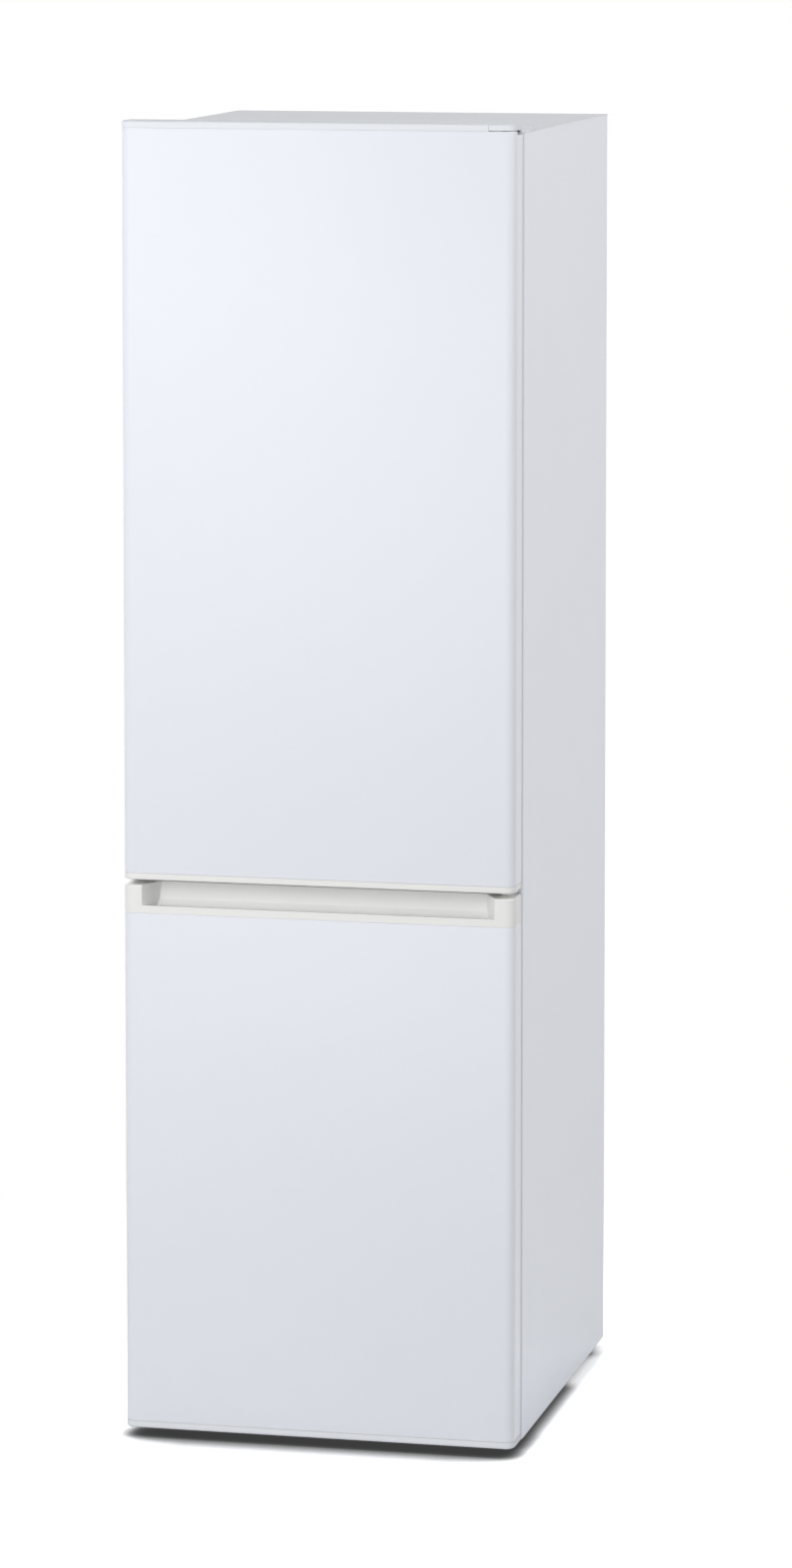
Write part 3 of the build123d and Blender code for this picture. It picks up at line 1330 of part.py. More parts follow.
def refrigerant_pipes():
    """Suction pipe, discharge pipe and filter drier of the nook."""
    low, high = SUCTION_Z
    suction = tube(
        SUCTION_R, PIPE_BEND, (PUMP_X - PUMP_R - PIPE_SEAT, PUMP_Y, low), (SUCTION_X, PUMP_Y, low),
        (SUCTION_X, PUMP_Y, high), (SUCTION_X, NOOK_SLOPE_Y + PIPE_SEAT, high),
    )
    turn, end = DISCHARGE_X
    front, back = DISCHARGE_Y
    low, high = DISCHARGE_Z
    discharge = tube(
        DISCHARGE_R, PIPE_BEND, (PUMP_X + PUMP_R + PIPE_SEAT, front, low), (turn, front, low),
        (turn, back, low), (turn, back, high), (end, back, high),
    )
    low, high = DRIER_Z
    bottom, top = CAPILLARY_Z
    drier = upright(DRIER_X, DRIER_Y, DRIER_R, low, high)
    drier = fillet(drier.edges().filter_by(GeomType.CIRCLE), DRIER_END_R)
    drier += upright(DRIER_X, DRIER_Y, CAPILLARY_R, bottom, low + CAPILLARY_SEAT)
    drier += tube(
        CAPILLARY_R, CAPILLARY_BEND, (DRIER_X, DRIER_Y, high - CAPILLARY_SEAT), (DRIER_X, DRIER_Y, top),
        (CAPILLARY_X, DRIER_Y, top),
    )
    return [suction, discharge, drier]


def build_cabinet():
    """Everything that stays with the cabinet."""
    right = side_panel()
    left = mirror(right, Plane.YZ)
    top = top_panel()
    base = base_plate()
    nook = nook_panel()
    save("side_panel_right", right)
    save("side_panel_left", left)
    save("top_panel", top)
    save("rear_panel", rear_panel())
    save("base_plate", base)
    save("nook_panel", nook)
    save("divider_rail", divider_rail())
    save("fridge_liner", fridge_liner())
    save("freezer_liner", freezer_liner())
    save("cabinet_foam", cabinet_foam([right, left, top, base, nook]))
    save("top_hinge", top_hinge())
    save("top_hinge_cover", top_hinge_cover())
    save("middle_hinge", middle_hinge())
    save("bottom_hinge", bottom_hinge())
    save("hinge_screws", *hinge_screws())
    save("condenser_coil", condenser_coil())
    save("compressor_deck", compressor_deck())
    save("roller_axles", *roller_axles())
    save("compressor", compressor())
    save("compressor_mounts", *compressor_mounts())
    save("terminal_cover", terminal_cover())
    save("drip_tray", drip_tray())
    save("refrigerant_pipes", *refrigerant_pipes())
    for side, name in ((-1, "left"), (1, "right")):
        save(f"foot_{name}", levelling_foot(side))
        save(f"roller_{name}", roller(side))


def build_interior():
    """Shelves, drawers, controls and cold air parts."""
    save("glass_shelves", *glass_shelves())
    save("shelf_trims", *shelf_trims())
    save("control_housing", control_housing())
    save("control_knob", control_knob())
    save("lamp_lens", lamp_lens())
    save("fridge_duct", fridge_duct())
    save("crisper_drawer", drawer(*CRISPER))
    for node, extent in FREEZER_DRAWERS.items():
        save(node, drawer(*extent))
    save("freezer_duct", freezer_duct())
    save("fan_rotor", fan_rotor())
    save("fan_motor", fan_motor())
    save("evaporator", evaporator())


def build_upper_door():
    """Upper door with its bins."""
    low, high = UPPER_BOTTOM + CAP_BAND, DOOR_TOP - CAP_BAND
    top, bottom = upper_top_cap(), upper_bottom_cap()
    bushes = [hinge_bush(POCKET_FLOOR, False), hinge_bush(UPPER_BOTTOM, True)]
    bores = [bush_bore(POCKET_FLOOR, False), bush_bore(UPPER_BOTTOM, True)]
    save("upper_door_skin", door_skin(low, high) - skin_notch())
    save("upper_door_top_cap", top)
    save("upper_door_corner_cap", upper_hinge_cap())
    save("upper_door_bottom_cap", bottom)
    save("upper_door_liner", upper_liner())
    save("upper_door_gasket", gasket(*UPPER_GASKET))
    save("upper_door_bushes", *bushes)
    rooms = [top, hinge_pocket(), cap_slot(), *bores]
    save("upper_door_foam", door_foam(UPPER_BOTTOM + PLUG_TALL, high, ridge_form(LINER), rooms))
    for node, (floor, tall) in BINS.items():
        tray = door_bin(floor, tall)
        for lug in bin_lugs():
            tray -= offset(lug, SLIDE_GAP)
        save(node, tray)


def build_lower_door():
    """Lower door."""
    low, high = FLOOR_GAP + CAP_BAND, LOWER_TOP - GRIP_BAND
    top, bottom = lower_top_cap(), lower_bottom_cap()
    bushes = [hinge_bush(LOWER_TOP, False), hinge_bush(FLOOR_GAP, True)]
    bores = [bush_bore(LOWER_TOP, False), bush_bore(FLOOR_GAP, True)]
    save("lower_door_skin", door_skin(low, high))
    save("lower_door_top_cap", top)
    save("lower_door_bottom_cap", bottom)
    save("lower_door_liner", lower_liner())
    save("lower_door_gasket", gasket(*LOWER_GASKET))
    save("lower_door_bushes", *bushes)
    save("lower_door_foam", door_foam(low, high, plateau_form(LINER), [top, bottom, scoop(), *bores]))


build_cabinet()
build_interior()
build_upper_door()
build_lower_door()
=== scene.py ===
"""Looks of a slim white fridge-freezer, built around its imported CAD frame."""

import logging
import math
from dataclasses import dataclass, field
from enum import Enum
from typing import Optional, Sequence

import bmesh
import bpy
from mathutils import Matrix, Vector


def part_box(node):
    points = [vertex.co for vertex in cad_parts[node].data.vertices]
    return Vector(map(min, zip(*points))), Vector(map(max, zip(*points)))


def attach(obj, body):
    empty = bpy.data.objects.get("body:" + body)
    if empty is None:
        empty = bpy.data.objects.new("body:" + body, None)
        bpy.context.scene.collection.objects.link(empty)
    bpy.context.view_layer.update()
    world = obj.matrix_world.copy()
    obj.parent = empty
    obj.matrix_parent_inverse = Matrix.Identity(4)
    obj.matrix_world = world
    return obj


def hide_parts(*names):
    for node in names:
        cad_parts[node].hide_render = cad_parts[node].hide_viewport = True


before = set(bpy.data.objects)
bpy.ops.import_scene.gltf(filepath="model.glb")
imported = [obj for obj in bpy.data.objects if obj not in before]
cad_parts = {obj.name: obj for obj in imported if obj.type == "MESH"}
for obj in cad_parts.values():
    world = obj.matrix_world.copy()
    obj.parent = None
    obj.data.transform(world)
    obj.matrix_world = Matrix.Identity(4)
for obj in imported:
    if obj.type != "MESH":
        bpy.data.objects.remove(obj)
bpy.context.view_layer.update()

NODES: dict[str, bpy.types.Object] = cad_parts
MM = 0.001  # metres in a millimetre
WELD = 0.001  # millimetres between points that become one
QUARTER_TURN = math.pi / 2
WHITE = (1.0, 1.0, 1.0, 1.0)

log = logging.getLogger("fridge")

Pair = tuple[float, float]
Point = tuple[float, float, float]
Colour = tuple[float, float, float]


class Body(Enum):
    """CAD bodies that pieces ride on."""

    CABINET = "cabinet"
    UPPER_DOOR = "upper_door"
    LOWER_DOOR = "lower_door"
    KNOB = "knob"
    CRISPER = "crisper"
    FREEZER_TOP = "freezer_top"
    FREEZER_MIDDLE = "freezer_middle"
    FREEZER_BOTTOM = "freezer_bottom"


class Slot(Enum):
    """Material slots of the record; nothing in this script assigns them to pieces."""

    WHITE_STEEL = "white_steel"
    ZINC_STEEL = "zinc_steel"
    DARK_PLASTIC = "dark_plastic"
    GASKET = "gasket"
    LENS = "lens"
    CLEAR_PLASTIC = "clear_plastic"


class Effect(Enum):
    """Shared surface effects, each one shader node group."""

    TONE = "tone drift"
    PEEL = "paint peel"
    GRAIN = "moulded grain"
    LINES = "rolling lines"
    SPANGLE = "zinc spangle"
    DUST = "settled dust"


def plug(tree: bpy.types.NodeTree, value: object, socket: bpy.types.NodeSocket) -> None:
    """Links an output to an input, or sets the input to a plain value.

    Args:
        tree: The tree of both.
        value: An output or a plain value.
        socket: The input.
    """
    if isinstance(value, bpy.types.NodeSocket):
        tree.links.new(value, socket)
    else:
        socket.default_value = value


def add_node(
    tree: bpy.types.NodeTree, kind: str, *values: object,
    settings: Optional[dict[str, object]] = None, **inputs: object,
) -> bpy.types.Node:
    """Adds a node to a tree.

    Args:
        tree: The tree.
        kind: Type name of the node.
        values: Outputs or plain values for its first inputs, in order.
        settings: Properties of the node, set before its inputs.
        inputs: Outputs or plain values by input name, with underscores for blanks. A list joins several.

    Returns:
        The node.
    """
    node = tree.nodes.new(kind)
    for name, setting in (settings or {}).items():
        setattr(node, name, setting)
    pairs = list(zip(node.inputs, values))
    pairs += [(node.inputs[name.replace("_", " ")], value) for name, value in inputs.items()]
    for socket, value in pairs:
        for entry in value if isinstance(value, list) else [value]:
            plug(tree, entry, socket)
    return node


def math_node(tree: bpy.types.NodeTree, kind: str, *values: object) -> bpy.types.NodeSocket:
    """Adds a math node on outputs or numbers and gives its result."""
    return add_node(tree, "ShaderNodeMath", *values, settings={"operation": kind}).outputs[0]


def mix_colours(
    tree: bpy.types.NodeTree, factor: object, first: object, second: object
) -> bpy.types.NodeSocket:
    """Mixes two colours, by a factor that leads to the second, and gives the result."""
    mix = add_node(tree, "ShaderNodeMix", settings={"data_type": "RGBA"}, Factor=factor, A=first, B=second)
    return mix.outputs["Result"]


def noise(
    tree: bpy.types.NodeTree, vector: bpy.types.NodeSocket, scale: object, detail: float, rough: float = 0.5
) -> bpy.types.NodeSocket:
    """Adds a noise texture at a place, with waves per metre, detail and roughness, and gives its value."""
    node = add_node(tree, "ShaderNodeTexNoise", Vector=vector, Scale=scale, Detail=detail, Roughness=rough)
    return node.outputs["Fac"]


def map_range(
    tree: bpy.types.NodeTree, value: bpy.types.NodeSocket, old: Pair, new: Pair, smooth: bool = False
) -> bpy.types.NodeSocket:
    """Maps a value from one range to another, held at its ends.

    Args:
        tree: The tree.
        value: The value.
        old: Ends of its own range.
        new: Ends of the range that it is mapped to.
        smooth: Whether it leaves and meets the ends gently.

    Returns:
        The mapped value.
    """
    return add_node(
        tree, "ShaderNodeMapRange", settings={"interpolation_type": "SMOOTHSTEP" if smooth else "LINEAR"},
        Value=value, From_Min=old[0], From_Max=old[1], To_Min=new[0], To_Max=new[1],
    ).outputs[0]


@dataclass
class EffectLibrary:
    """Shader node groups that several finishes share, each built once.

    Attributes:
        swell: Slow waves per metre of sprayed paint.
        matt_patches: Matt patches per metre of a moulding.
        frost: Waves per metre that bend the edges of zinc crystals.
        frost_bend: How far they bend them, in metres.
        frost_gloss: Spread of roughness among zinc crystals.
        dust_patches: Patches per metre of dust.
        dust: Colour of dust.
        noise_mean: Mean value of a noise texture.
        groups: The groups built so far.
    """

    swell: float = 60.0
    matt_patches: float = 14.0
    frost: float = 60.0
    frost_bend: float = 0.006
    frost_gloss: float = 0.16
    dust_patches: float = 45.0
    dust: Colour = (0.32, 0.3, 0.27)
    noise_mean: float = 0.5
    groups: dict[Effect, bpy.types.NodeTree] = field(default_factory=dict)

    def get(self, effect: Effect) -> bpy.types.NodeTree:
        """Gives the group of an effect, building it on first use.

        Args:
            effect: The effect wanted.

        Returns:
            The shader node group.
        """
        if effect not in self.groups:
            tree = bpy.data.node_groups.new(effect.value, "ShaderNodeTree")
            getattr(self, f"_build_{effect.name.lower()}")(tree)
            self.groups[effect] = tree
        return self.groups[effect]

    @staticmethod
    def _frame(
        tree: bpy.types.NodeTree, inputs: dict[str, tuple[str, object]], outputs: dict[str, str]
    ) -> tuple[bpy.types.NodeOutputs, bpy.types.NodeInputs]:
        """Declares a group's sockets.

        Args:
            tree: The group.
            inputs: Socket type and default value by name; a default of None is left alone.
            outputs: Socket type by name.

        Returns:
            The outputs of the input node and the inputs of the output node.
        """
        for name, (kind, default) in inputs.items():
            socket = tree.interface.new_socket(name, in_out="INPUT", socket_type=f"NodeSocket{kind}")
            if default is not None:
                socket.default_value = default
        for name, kind in outputs.items():
            tree.interface.new_socket(name, in_out="OUTPUT", socket_type=f"NodeSocket{kind}")
        return tree.nodes.new("NodeGroupInput").outputs, tree.nodes.new("NodeGroupOutput").inputs

    def _spread(
        self, tree: bpy.types.NodeTree, value: bpy.types.NodeSocket, ins: bpy.types.NodeOutputs
    ) -> bpy.types.NodeSocket:
        """Gives a group's base roughness, spread by a noise value about its mean.

        Args:
            tree: The group.
            value: The noise value.
            ins: The group's inputs, with Base and Spread.

        Returns:
            The roughness.
        """
        offset = math_node(tree, "SUBTRACT", value, self.noise_mean)
        return math_node(tree, "ADD", ins["Base"], math_node(tree, "MULTIPLY", offset, ins["Spread"]))

    def _build_tone(self, tree: bpy.types.NodeTree) -> None:
        """Slow cloudy drift between a colour and a second shade of it.

        Args:
            tree: The empty group.
        """
        ins, outs = self._frame(
            tree,
            {"Vector": ("Vector", None), "Colour": ("Color", None), "Shade": ("Color", None),
             "Scale": ("Float", 3.0), "Amount": ("Float", 0.5)},
            {"Colour": "Color"},
        )
        cloud = noise(tree, ins["Vector"], ins["Scale"], detail=3.0)
        mask = math_node(tree, "MULTIPLY", cloud, ins["Amount"])
        plug(tree, mix_colours(tree, mask, ins["Colour"], ins["Shade"]), outs["Colour"])

    def _build_peel(self, tree: bpy.types.NodeTree) -> None:
        """Fine waviness of sprayed and baked paint.

        Args:
            tree: The empty group.
        """
        ins, outs = self._frame(
            tree, {"Vector": ("Vector", None), "Scale": ("Float", 420.0)}, {"Height": "Float"}
        )
        fine = noise(tree, ins["Vector"], ins["Scale"], detail=1.0)
        slow = noise(tree, ins["Vector"], self.swell, detail=1.0)
        plug(tree, math_node(tree, "ADD", fine, slow), outs["Height"])

    def _build_grain(self, tree: bpy.types.NodeTree) -> None:
        """Pebbled grain of a moulding and the matt patches it brings.

        Args:
            tree: The empty group.
        """
        ins, outs = self._frame(
            tree,
            {"Vector": ("Vector", None), "Scale": ("Float", 900.0), "Base": ("Float", 0.4),
             "Spread": ("Float", 0.1)},
            {"Height": "Float", "Roughness": "Float"},
        )
        cells = add_node(
            tree, "ShaderNodeTexVoronoi", settings={"feature": "SMOOTH_F1"},
            Vector=ins["Vector"], Scale=ins["Scale"],
        )
        patches = noise(tree, ins["Vector"], self.matt_patches, detail=3.0)
        plug(tree, cells.outputs["Distance"], outs["Height"])
        plug(tree, self._spread(tree, patches, ins), outs["Roughness"])

    def _build_lines(self, tree: bpy.types.NodeTree) -> None:
        """Fine lines that rolling and drawing leave in metal.

        Args:
            tree: The empty group.
        """
        ins, outs = self._frame(
            tree,
            {"Vector": ("Vector", None), "Stretch": ("Vector", (900.0, 900.0, 8.0)),
             "Base": ("Float", 0.35), "Spread": ("Float", 0.25)},
            {"Height": "Float", "Roughness": "Float"},
        )
        stretch = add_node(
            tree, "ShaderNodeVectorMath", ins["Vector"], ins["Stretch"], settings={"operation": "MULTIPLY"}
        )
        lines = noise(tree, stretch.outputs[0], 1.0, detail=2.0)
        plug(tree, lines, outs["Height"])
        plug(tree, self._spread(tree, lines, ins), outs["Roughness"])

    def _build_spangle(self, tree: bpy.types.NodeTree) -> None:
        """Frost-like crystal patches of a zinc coating.

        Args:
            tree: The empty group.
        """
        ins, outs = self._frame(
            tree,
            {"Vector": ("Vector", None), "Colour": ("Color", None), "Shade": ("Color", None),
             "Scale": ("Float", 90.0), "Base": ("Float", 0.42)},
            {"Colour": "Color", "Roughness": "Float", "Height": "Float"},
        )
        bend = add_node(tree, "ShaderNodeTexNoise", Vector=ins["Vector"], Scale=self.frost)
        small = add_node(
            tree, "ShaderNodeVectorMath", bend.outputs["Color"],
            settings={"operation": "SCALE"}, Scale=self.frost_bend,
        )
        warp = add_node(
            tree, "ShaderNodeVectorMath", ins["Vector"], small.outputs[0], settings={"operation": "ADD"}
        )
        cells = add_node(tree, "ShaderNodeTexVoronoi", Vector=warp.outputs[0], Scale=ins["Scale"])
        split = add_node(tree, "ShaderNodeSeparateColor", cells.outputs["Color"])
        colour = mix_colours(tree, split.outputs[0], ins["Colour"], ins["Shade"])
        spread = math_node(tree, "MULTIPLY", split.outputs[1], self.frost_gloss)
        plug(tree, colour, outs["Colour"])
        plug(tree, math_node(tree, "ADD", ins["Base"], spread), outs["Roughness"])
        plug(tree, cells.outputs["Distance"], outs["Height"])

    def _build_dust(self, tree: bpy.types.NodeTree) -> None:
        """Thin dust that lies on whatever faces up.

        Args:
            tree: The empty group.
        """
        ins, outs = self._frame(
            tree,
            {"Vector": ("Vector", None), "Normal": ("Vector", None), "Colour": ("Color", None),
             "Dust": ("Color", (*self.dust, 1.0)), "Amount": ("Float", 0.5)},
            {"Colour": "Color"},
        )
        split = add_node(tree, "ShaderNodeSeparateXYZ", ins["Normal"])
        upward = math_node(tree, "MAXIMUM", split.outputs["Z"], 0.0)
        patches = noise(tree, ins["Vector"], self.dust_patches, detail=4.0, rough=0.6)
        film = math_node(tree, "MULTIPLY", upward, patches)
        mask = math_node(tree, "MULTIPLY", film, ins["Amount"])
        plug(tree, mix_colours(tree, mask, ins["Colour"], ins["Dust"]), outs["Colour"])


EFFECTS = EffectLibrary()


def darker(colour: Colour, share: float) -> Colour:
    """Gives a colour scaled by a share."""
    return tuple(channel * share for channel in colour)


class Shading:
    """Node tree of one material, with the Principled shader at its end."""

    def __init__(self, name: str) -> None:
        """Makes the material.

        Args:
            name: The material's name.
        """
        self.material = bpy.data.materials.new(name)
        self.material.use_nodes = True
        self.tree = self.material.node_tree
        self.shader = self.tree.nodes["Principled BSDF"]
        self.coords = self.tree.nodes.new("ShaderNodeTexCoord")

    def constant(self, **values: object) -> None:
        """Sets shader sockets that are the same all over; underscores stand for spaces."""
        for name, value in values.items():
            self.shader.inputs[name.replace("_", " ")].default_value = value

    def effect(self, effect: Effect, **values: object) -> bpy.types.Node:
        """Places a shared effect.

        Args:
            effect: The effect.
            values: Numbers, colours or sockets for its inputs.

        Returns:
            The group node.
        """
        settings = {"node_tree": EFFECTS.get(effect)}
        node = add_node(self.tree, "ShaderNodeGroup", settings=settings, Vector=self.coords.outputs["Object"])
        for name, value in values.items():
            socket = node.inputs[name]
            if socket.type == "RGBA" and isinstance(value, tuple):
                value = (*value, 1.0)
            plug(self.tree, value, socket)
        return node

    def feed(self, output: bpy.types.NodeSocket, socket: str) -> None:
        """Links a varying value to a shader socket."""
        self.tree.links.new(output, self.shader.inputs[socket])

    def bump(self, height: bpy.types.NodeSocket, depth: float) -> None:
        """Turns a varying height into the surface normal, with a relief of that depth in metres."""
        node = add_node(self.tree, "ShaderNodeBump", Distance=depth, Strength=1.0, Height=height)
        self.feed(node.outputs["Normal"], "Normal")

    def tone(
        self, colour: Colour, share: float, scale: float, amount: float = 0.5, dust: float = 0.0
    ) -> None:
        """Feeds a colour that drifts to a darker shade of itself, with dust on what faces up.

        Args:
            colour: The colour.
            share: Share of the colour in its darker shade.
            scale: Clouds per metre.
            amount: How far the drift goes.
            dust: Amount of dust.
        """
        shade = darker(colour, share)
        node = self.effect(Effect.TONE, Colour=colour, Shade=shade, Scale=scale, Amount=amount)
        if dust:
            node = self.effect(
                Effect.DUST, Normal=self.coords.outputs["Normal"], Colour=node.outputs["Colour"], Amount=dust
            )
        self.feed(node.outputs["Colour"], "Base Color")

    def grain(self, scale: float, base: float, spread: float, depth: float = 0.0) -> None:
        """Feeds a roughness in patches, and a relief of grains where they have a depth.

        Args:
            scale: Grains per metre.
            base: Middle roughness.
            spread: Spread of the roughness.
            depth: Depth of the grains in metres.
        """
        node = self.effect(Effect.GRAIN, Scale=scale, Base=base, Spread=spread)
        self.feed(node.outputs["Roughness"], "Roughness")
        if depth:
            self.bump(node.outputs["Height"], depth)


@dataclass(frozen=True)
class Finish:
    """A surface finish that becomes one procedural material.

    Attributes:
        name: Plain name of the finish.
        colour: Linear base colour.
        roughness: Middle roughness.
    """

    name: str
    colour: Colour
    roughness: float

    def material(self) -> bpy.types.Material:
        """Gives the finish's material, made on first use.

        Returns:
            The material.
        """
        made = bpy.data.materials.get(self.name)
        if made is None:
            shading = Shading(self.name)
            shading.constant(Base_Color=(*self.colour, 1.0), Roughness=self.roughness)
            self.wire(shading)
            made = shading.material
        return made

    def wire(self, shading: Shading) -> None:
        """Adds the finish's own detail to the material."""
        raise NotImplementedError


@dataclass(frozen=True)
class Enamel(Finish):
    """Sprayed and baked paint on sheet steel.

    Attributes:
        shade: Share of the colour at the darkest drift.
        peel: Depth of the paint's waviness in metres.
        dust: Amount of settled dust.
        coat: Weight of the clear top coat.
        specular: Strength of the mirror-like share.
        drift: Clouds of tone per metre.
        scale: Grains per metre.
        spread: Spread of the roughness.
        coat_roughness: Roughness of the clear top coat.
    """

    shade: float = 0.94
    peel: float = 0.00003
    dust: float = 0.0
    coat: float = 0.2
    specular: float = 0.5
    drift: float = 2.2
    scale: float = 300.0
    spread: float = 0.08
    coat_roughness: float = 0.12

    def wire(self, shading: Shading) -> None:
        """Adds tone drift, gloss drift, waviness and dust.

        Args:
            shading: The material's nodes.
        """
        shading.tone(self.colour, self.shade, self.drift, dust=self.dust)
        shading.grain(self.scale, self.roughness, self.spread)
        shading.bump(shading.effect(Effect.PEEL).outputs["Height"], self.peel)
        shading.constant(
            Coat_Weight=self.coat, Coat_Roughness=self.coat_roughness, Specular_IOR_Level=self.specular
        )


@dataclass(frozen=True)
class Moulding(Finish):
    """Injection-moulded plastic with a fine grain.

    Attributes:
        grain: Depth of the grain in metres.
        scale: Grains per metre.
        shade: Share of the colour at the darkest drift.
        dust: Amount of settled dust.
        specular: Strength of the mirror-like share.
        drift: Clouds of tone per metre.
        spread: Spread of the roughness.
    """

    grain: float = 0.00002
    scale: float = 1100.0
    shade: float = 0.95
    dust: float = 0.0
    specular: float = 0.5
    drift: float = 7.0
    spread: float = 0.12

    def wire(self, shading: Shading) -> None:
        """Adds tone drift, grain and dust.

        Args:
            shading: The material's nodes.
        """
        shading.tone(self.colour, self.shade, self.drift, dust=self.dust)
        shading.grain(self.scale, self.roughness, self.spread, self.grain)
        shading.constant(Specular_IOR_Level=self.specular)


@dataclass(frozen=True)
class ZincCoat(Finish):
    """Hot-dip zinc on steel, with its crystal patches.

    Attributes:
        scale: Crystals per metre.
        shade: Share of the colour in the darkest crystals.
        relief: Depth of the crystals in metres.
    """

    scale: float = 90.0
    shade: float = 0.78
    relief: float = 0.00002

    def wire(self, shading: Shading) -> None:
        """Adds the crystal patches to colour and gloss.

        Args:
            shading: The material's nodes.
        """
        dark = darker(self.colour, self.shade)
        coat = shading.effect(
            Effect.SPANGLE, Colour=self.colour, Shade=dark, Scale=self.scale, Base=self.roughness
        )
        shading.feed(coat.outputs["Colour"], "Base Color")
        shading.feed(coat.outputs["Roughness"], "Roughness")
        shading.bump(coat.outputs["Height"], self.relief)
        shading.constant(Metallic=1.0)


@dataclass(frozen=True)
class DrawnMetal(Finish):
    """Bare drawn or rolled metal with lines along one direction.

    Attributes:
        stretch: Line density along X, Y and Z.
        tarnish: Share of the colour where it has dulled.
        drift: Dull clouds per metre.
        dulling: How far they go.
        relief: Depth of the lines in metres.
    """

    stretch: Point = (900.0, 900.0, 8.0)
    tarnish: float = 0.7
    drift: float = 24.0
    dulling: float = 0.8
    relief: float = 0.00001

    def wire(self, shading: Shading) -> None:
        """Adds rolling lines and dull patches.

        Args:
            shading: The material's nodes.
        """
        shading.tone(self.colour, self.tarnish, self.drift, self.dulling)
        lines = shading.effect(Effect.LINES, Stretch=self.stretch, Base=self.roughness)
        shading.feed(lines.outputs["Roughness"], "Roughness")
        shading.bump(lines.outputs["Height"], self.relief)
        shading.constant(Metallic=1.0)


@dataclass(frozen=True)
class ClearPlate(Finish):
    """Glass or clear plastic.

    Attributes:
        clearness: Transmission weight.
        ior: Index of refraction.
        ripple: Depth of the surface's flow marks in metres.
        ripples: Flow marks per metre.
        scale: Grains per metre.
        spread: Spread of the roughness.
    """

    clearness: float = 1.0
    ior: float = 1.5
    ripple: float = 0.00002
    ripples: float = 90.0
    scale: float = 500.0
    spread: float = 0.03

    def wire(self, shading: Shading) -> None:
        """Adds transmission and slow flow marks.

        Args:
            shading: The material's nodes.
        """
        shading.grain(self.scale, self.roughness, self.spread)
        shading.bump(shading.effect(Effect.PEEL, Scale=self.ripples).outputs["Height"], self.ripple)
        shading.constant(Transmission_Weight=self.clearness, IOR=self.ior)


@dataclass(frozen=True)
class SoftPlastic(Finish):
    """Soft vinyl or rubber with a dull sheen.

    Attributes:
        sheen: Weight of the dull sheen.
        shade: Share of the colour at the darkest drift.
        drift: Clouds of tone per metre.
        scale: Grains per metre.
        spread: Spread of the roughness.
        grain: Depth of the grain in metres.
    """

    sheen: float = 0.2
    shade: float = 0.85
    drift: float = 18.0
    scale: float = 700.0
    spread: float = 0.15
    grain: float = 0.00003

    def wire(self, shading: Shading) -> None:
        """Adds tone drift, a fine skin and sheen.

        Args:
            shading: The material's nodes.
        """
        shading.tone(self.colour, self.shade, self.drift)
        shading.grain(self.scale, self.roughness, self.spread, self.grain)
        shading.constant(Sheen_Weight=self.sheen)


@dataclass(frozen=True)
class RigidFoam(Finish):
    """Cut face of rigid foam with open cells.

    Attributes:
        shade: Share of the colour where it has yellowed most.
        drift: Clouds of yellowing per metre.
        scale: Cells per metre.
        spread: Spread of the roughness.
        depth: Depth of the cells in metres.
    """

    shade: float = 0.8
    drift: float = 30.0
    scale: float = 600.0
    spread: float = 0.1
    depth: float = 0.0006

    def wire(self, shading: Shading) -> None:
        """Adds the cells and slow yellowing."""
        shading.tone(self.colour, self.shade, self.drift)
        shading.grain(self.scale, self.roughness, self.spread, self.depth)


WHITE_ENAMEL = Enamel("white enamel", (0.79, 0.802, 0.853), 0.3)
# Side enamel: a rougher, wavier paint of its own. Its colour is lighter and bluer than the doors', and that
# difference is painted light, matched to the side faces' tone under their light.
SIDE_PAINTED_LIGHT_ENAMEL = Enamel("side panel enamel with painted light", (0.80, 0.82, 0.885), 0.36, peel=0.00004)
TOP_ENAMEL = Enamel("matt top enamel", (0.87, 0.872, 0.91), 0.7, peel=0.0001, coat=0.0, specular=0.16)
TOP_CAP_PLASTIC = Moulding("white end cap plastic", (0.79, 0.805, 0.84), 0.6, specular=0.1)
CAP_PLASTIC = Moulding("white cap plastic", (0.825, 0.821, 0.803), 0.38)
LINER_PLASTIC = Moulding("white liner plastic", (0.82, 0.83, 0.835), 0.3, grain=0.00001, scale=500.0)
GREY_PRINT = Moulding("grey print", (0.12, 0.13, 0.14), 0.5)
DARK_PLASTIC = Moulding("dark plastic", (0.028, 0.028, 0.03), 0.45, grain=0.00004, dust=0.25)
NYLON = Moulding("natural nylon", (0.66, 0.65, 0.6), 0.4)
GASKET_VINYL = SoftPlastic("gasket vinyl", (0.52, 0.53, 0.545), 0.55)
MOUNT_RUBBER = SoftPlastic("mount rubber", (0.02, 0.02, 0.021), 0.75)
ZINC = ZincCoat("zinc coat", (0.56, 0.57, 0.585), 0.36, scale=160.0)
REAR_ZINC = ZincCoat("rear zinc coat", (0.60, 0.61, 0.63), 0.44, scale=140.0, shade=0.87)
BLACK_ENAMEL = Enamel("black enamel", (0.016, 0.016, 0.018), 0.34, shade=0.7, peel=0.0001, dust=0.45)
COPPER = DrawnMetal("copper pipe", (0.72, 0.36, 0.22), 0.3)
ALUMINIUM = DrawnMetal("fin aluminium", (0.80, 0.81, 0.82), 0.32, tarnish=0.85)
SHELF_GLASS = ClearPlate("shelf glass", (0.90, 0.975, 0.95), 0.02, ior=1.52, ripple=0.000004)
CLEAR_PLASTIC = ClearPlate("clear drawer plastic", (0.93, 0.965, 0.985), 0.06, clearness=0.88, ior=1.49)
LENS_PLASTIC = ClearPlate("lamp lens plastic", (0.95, 0.95, 0.93), 0.42, clearness=0.6, ior=1.49)
FOAM = RigidFoam("rigid foam", (0.72, 0.64, 0.40), 0.9)

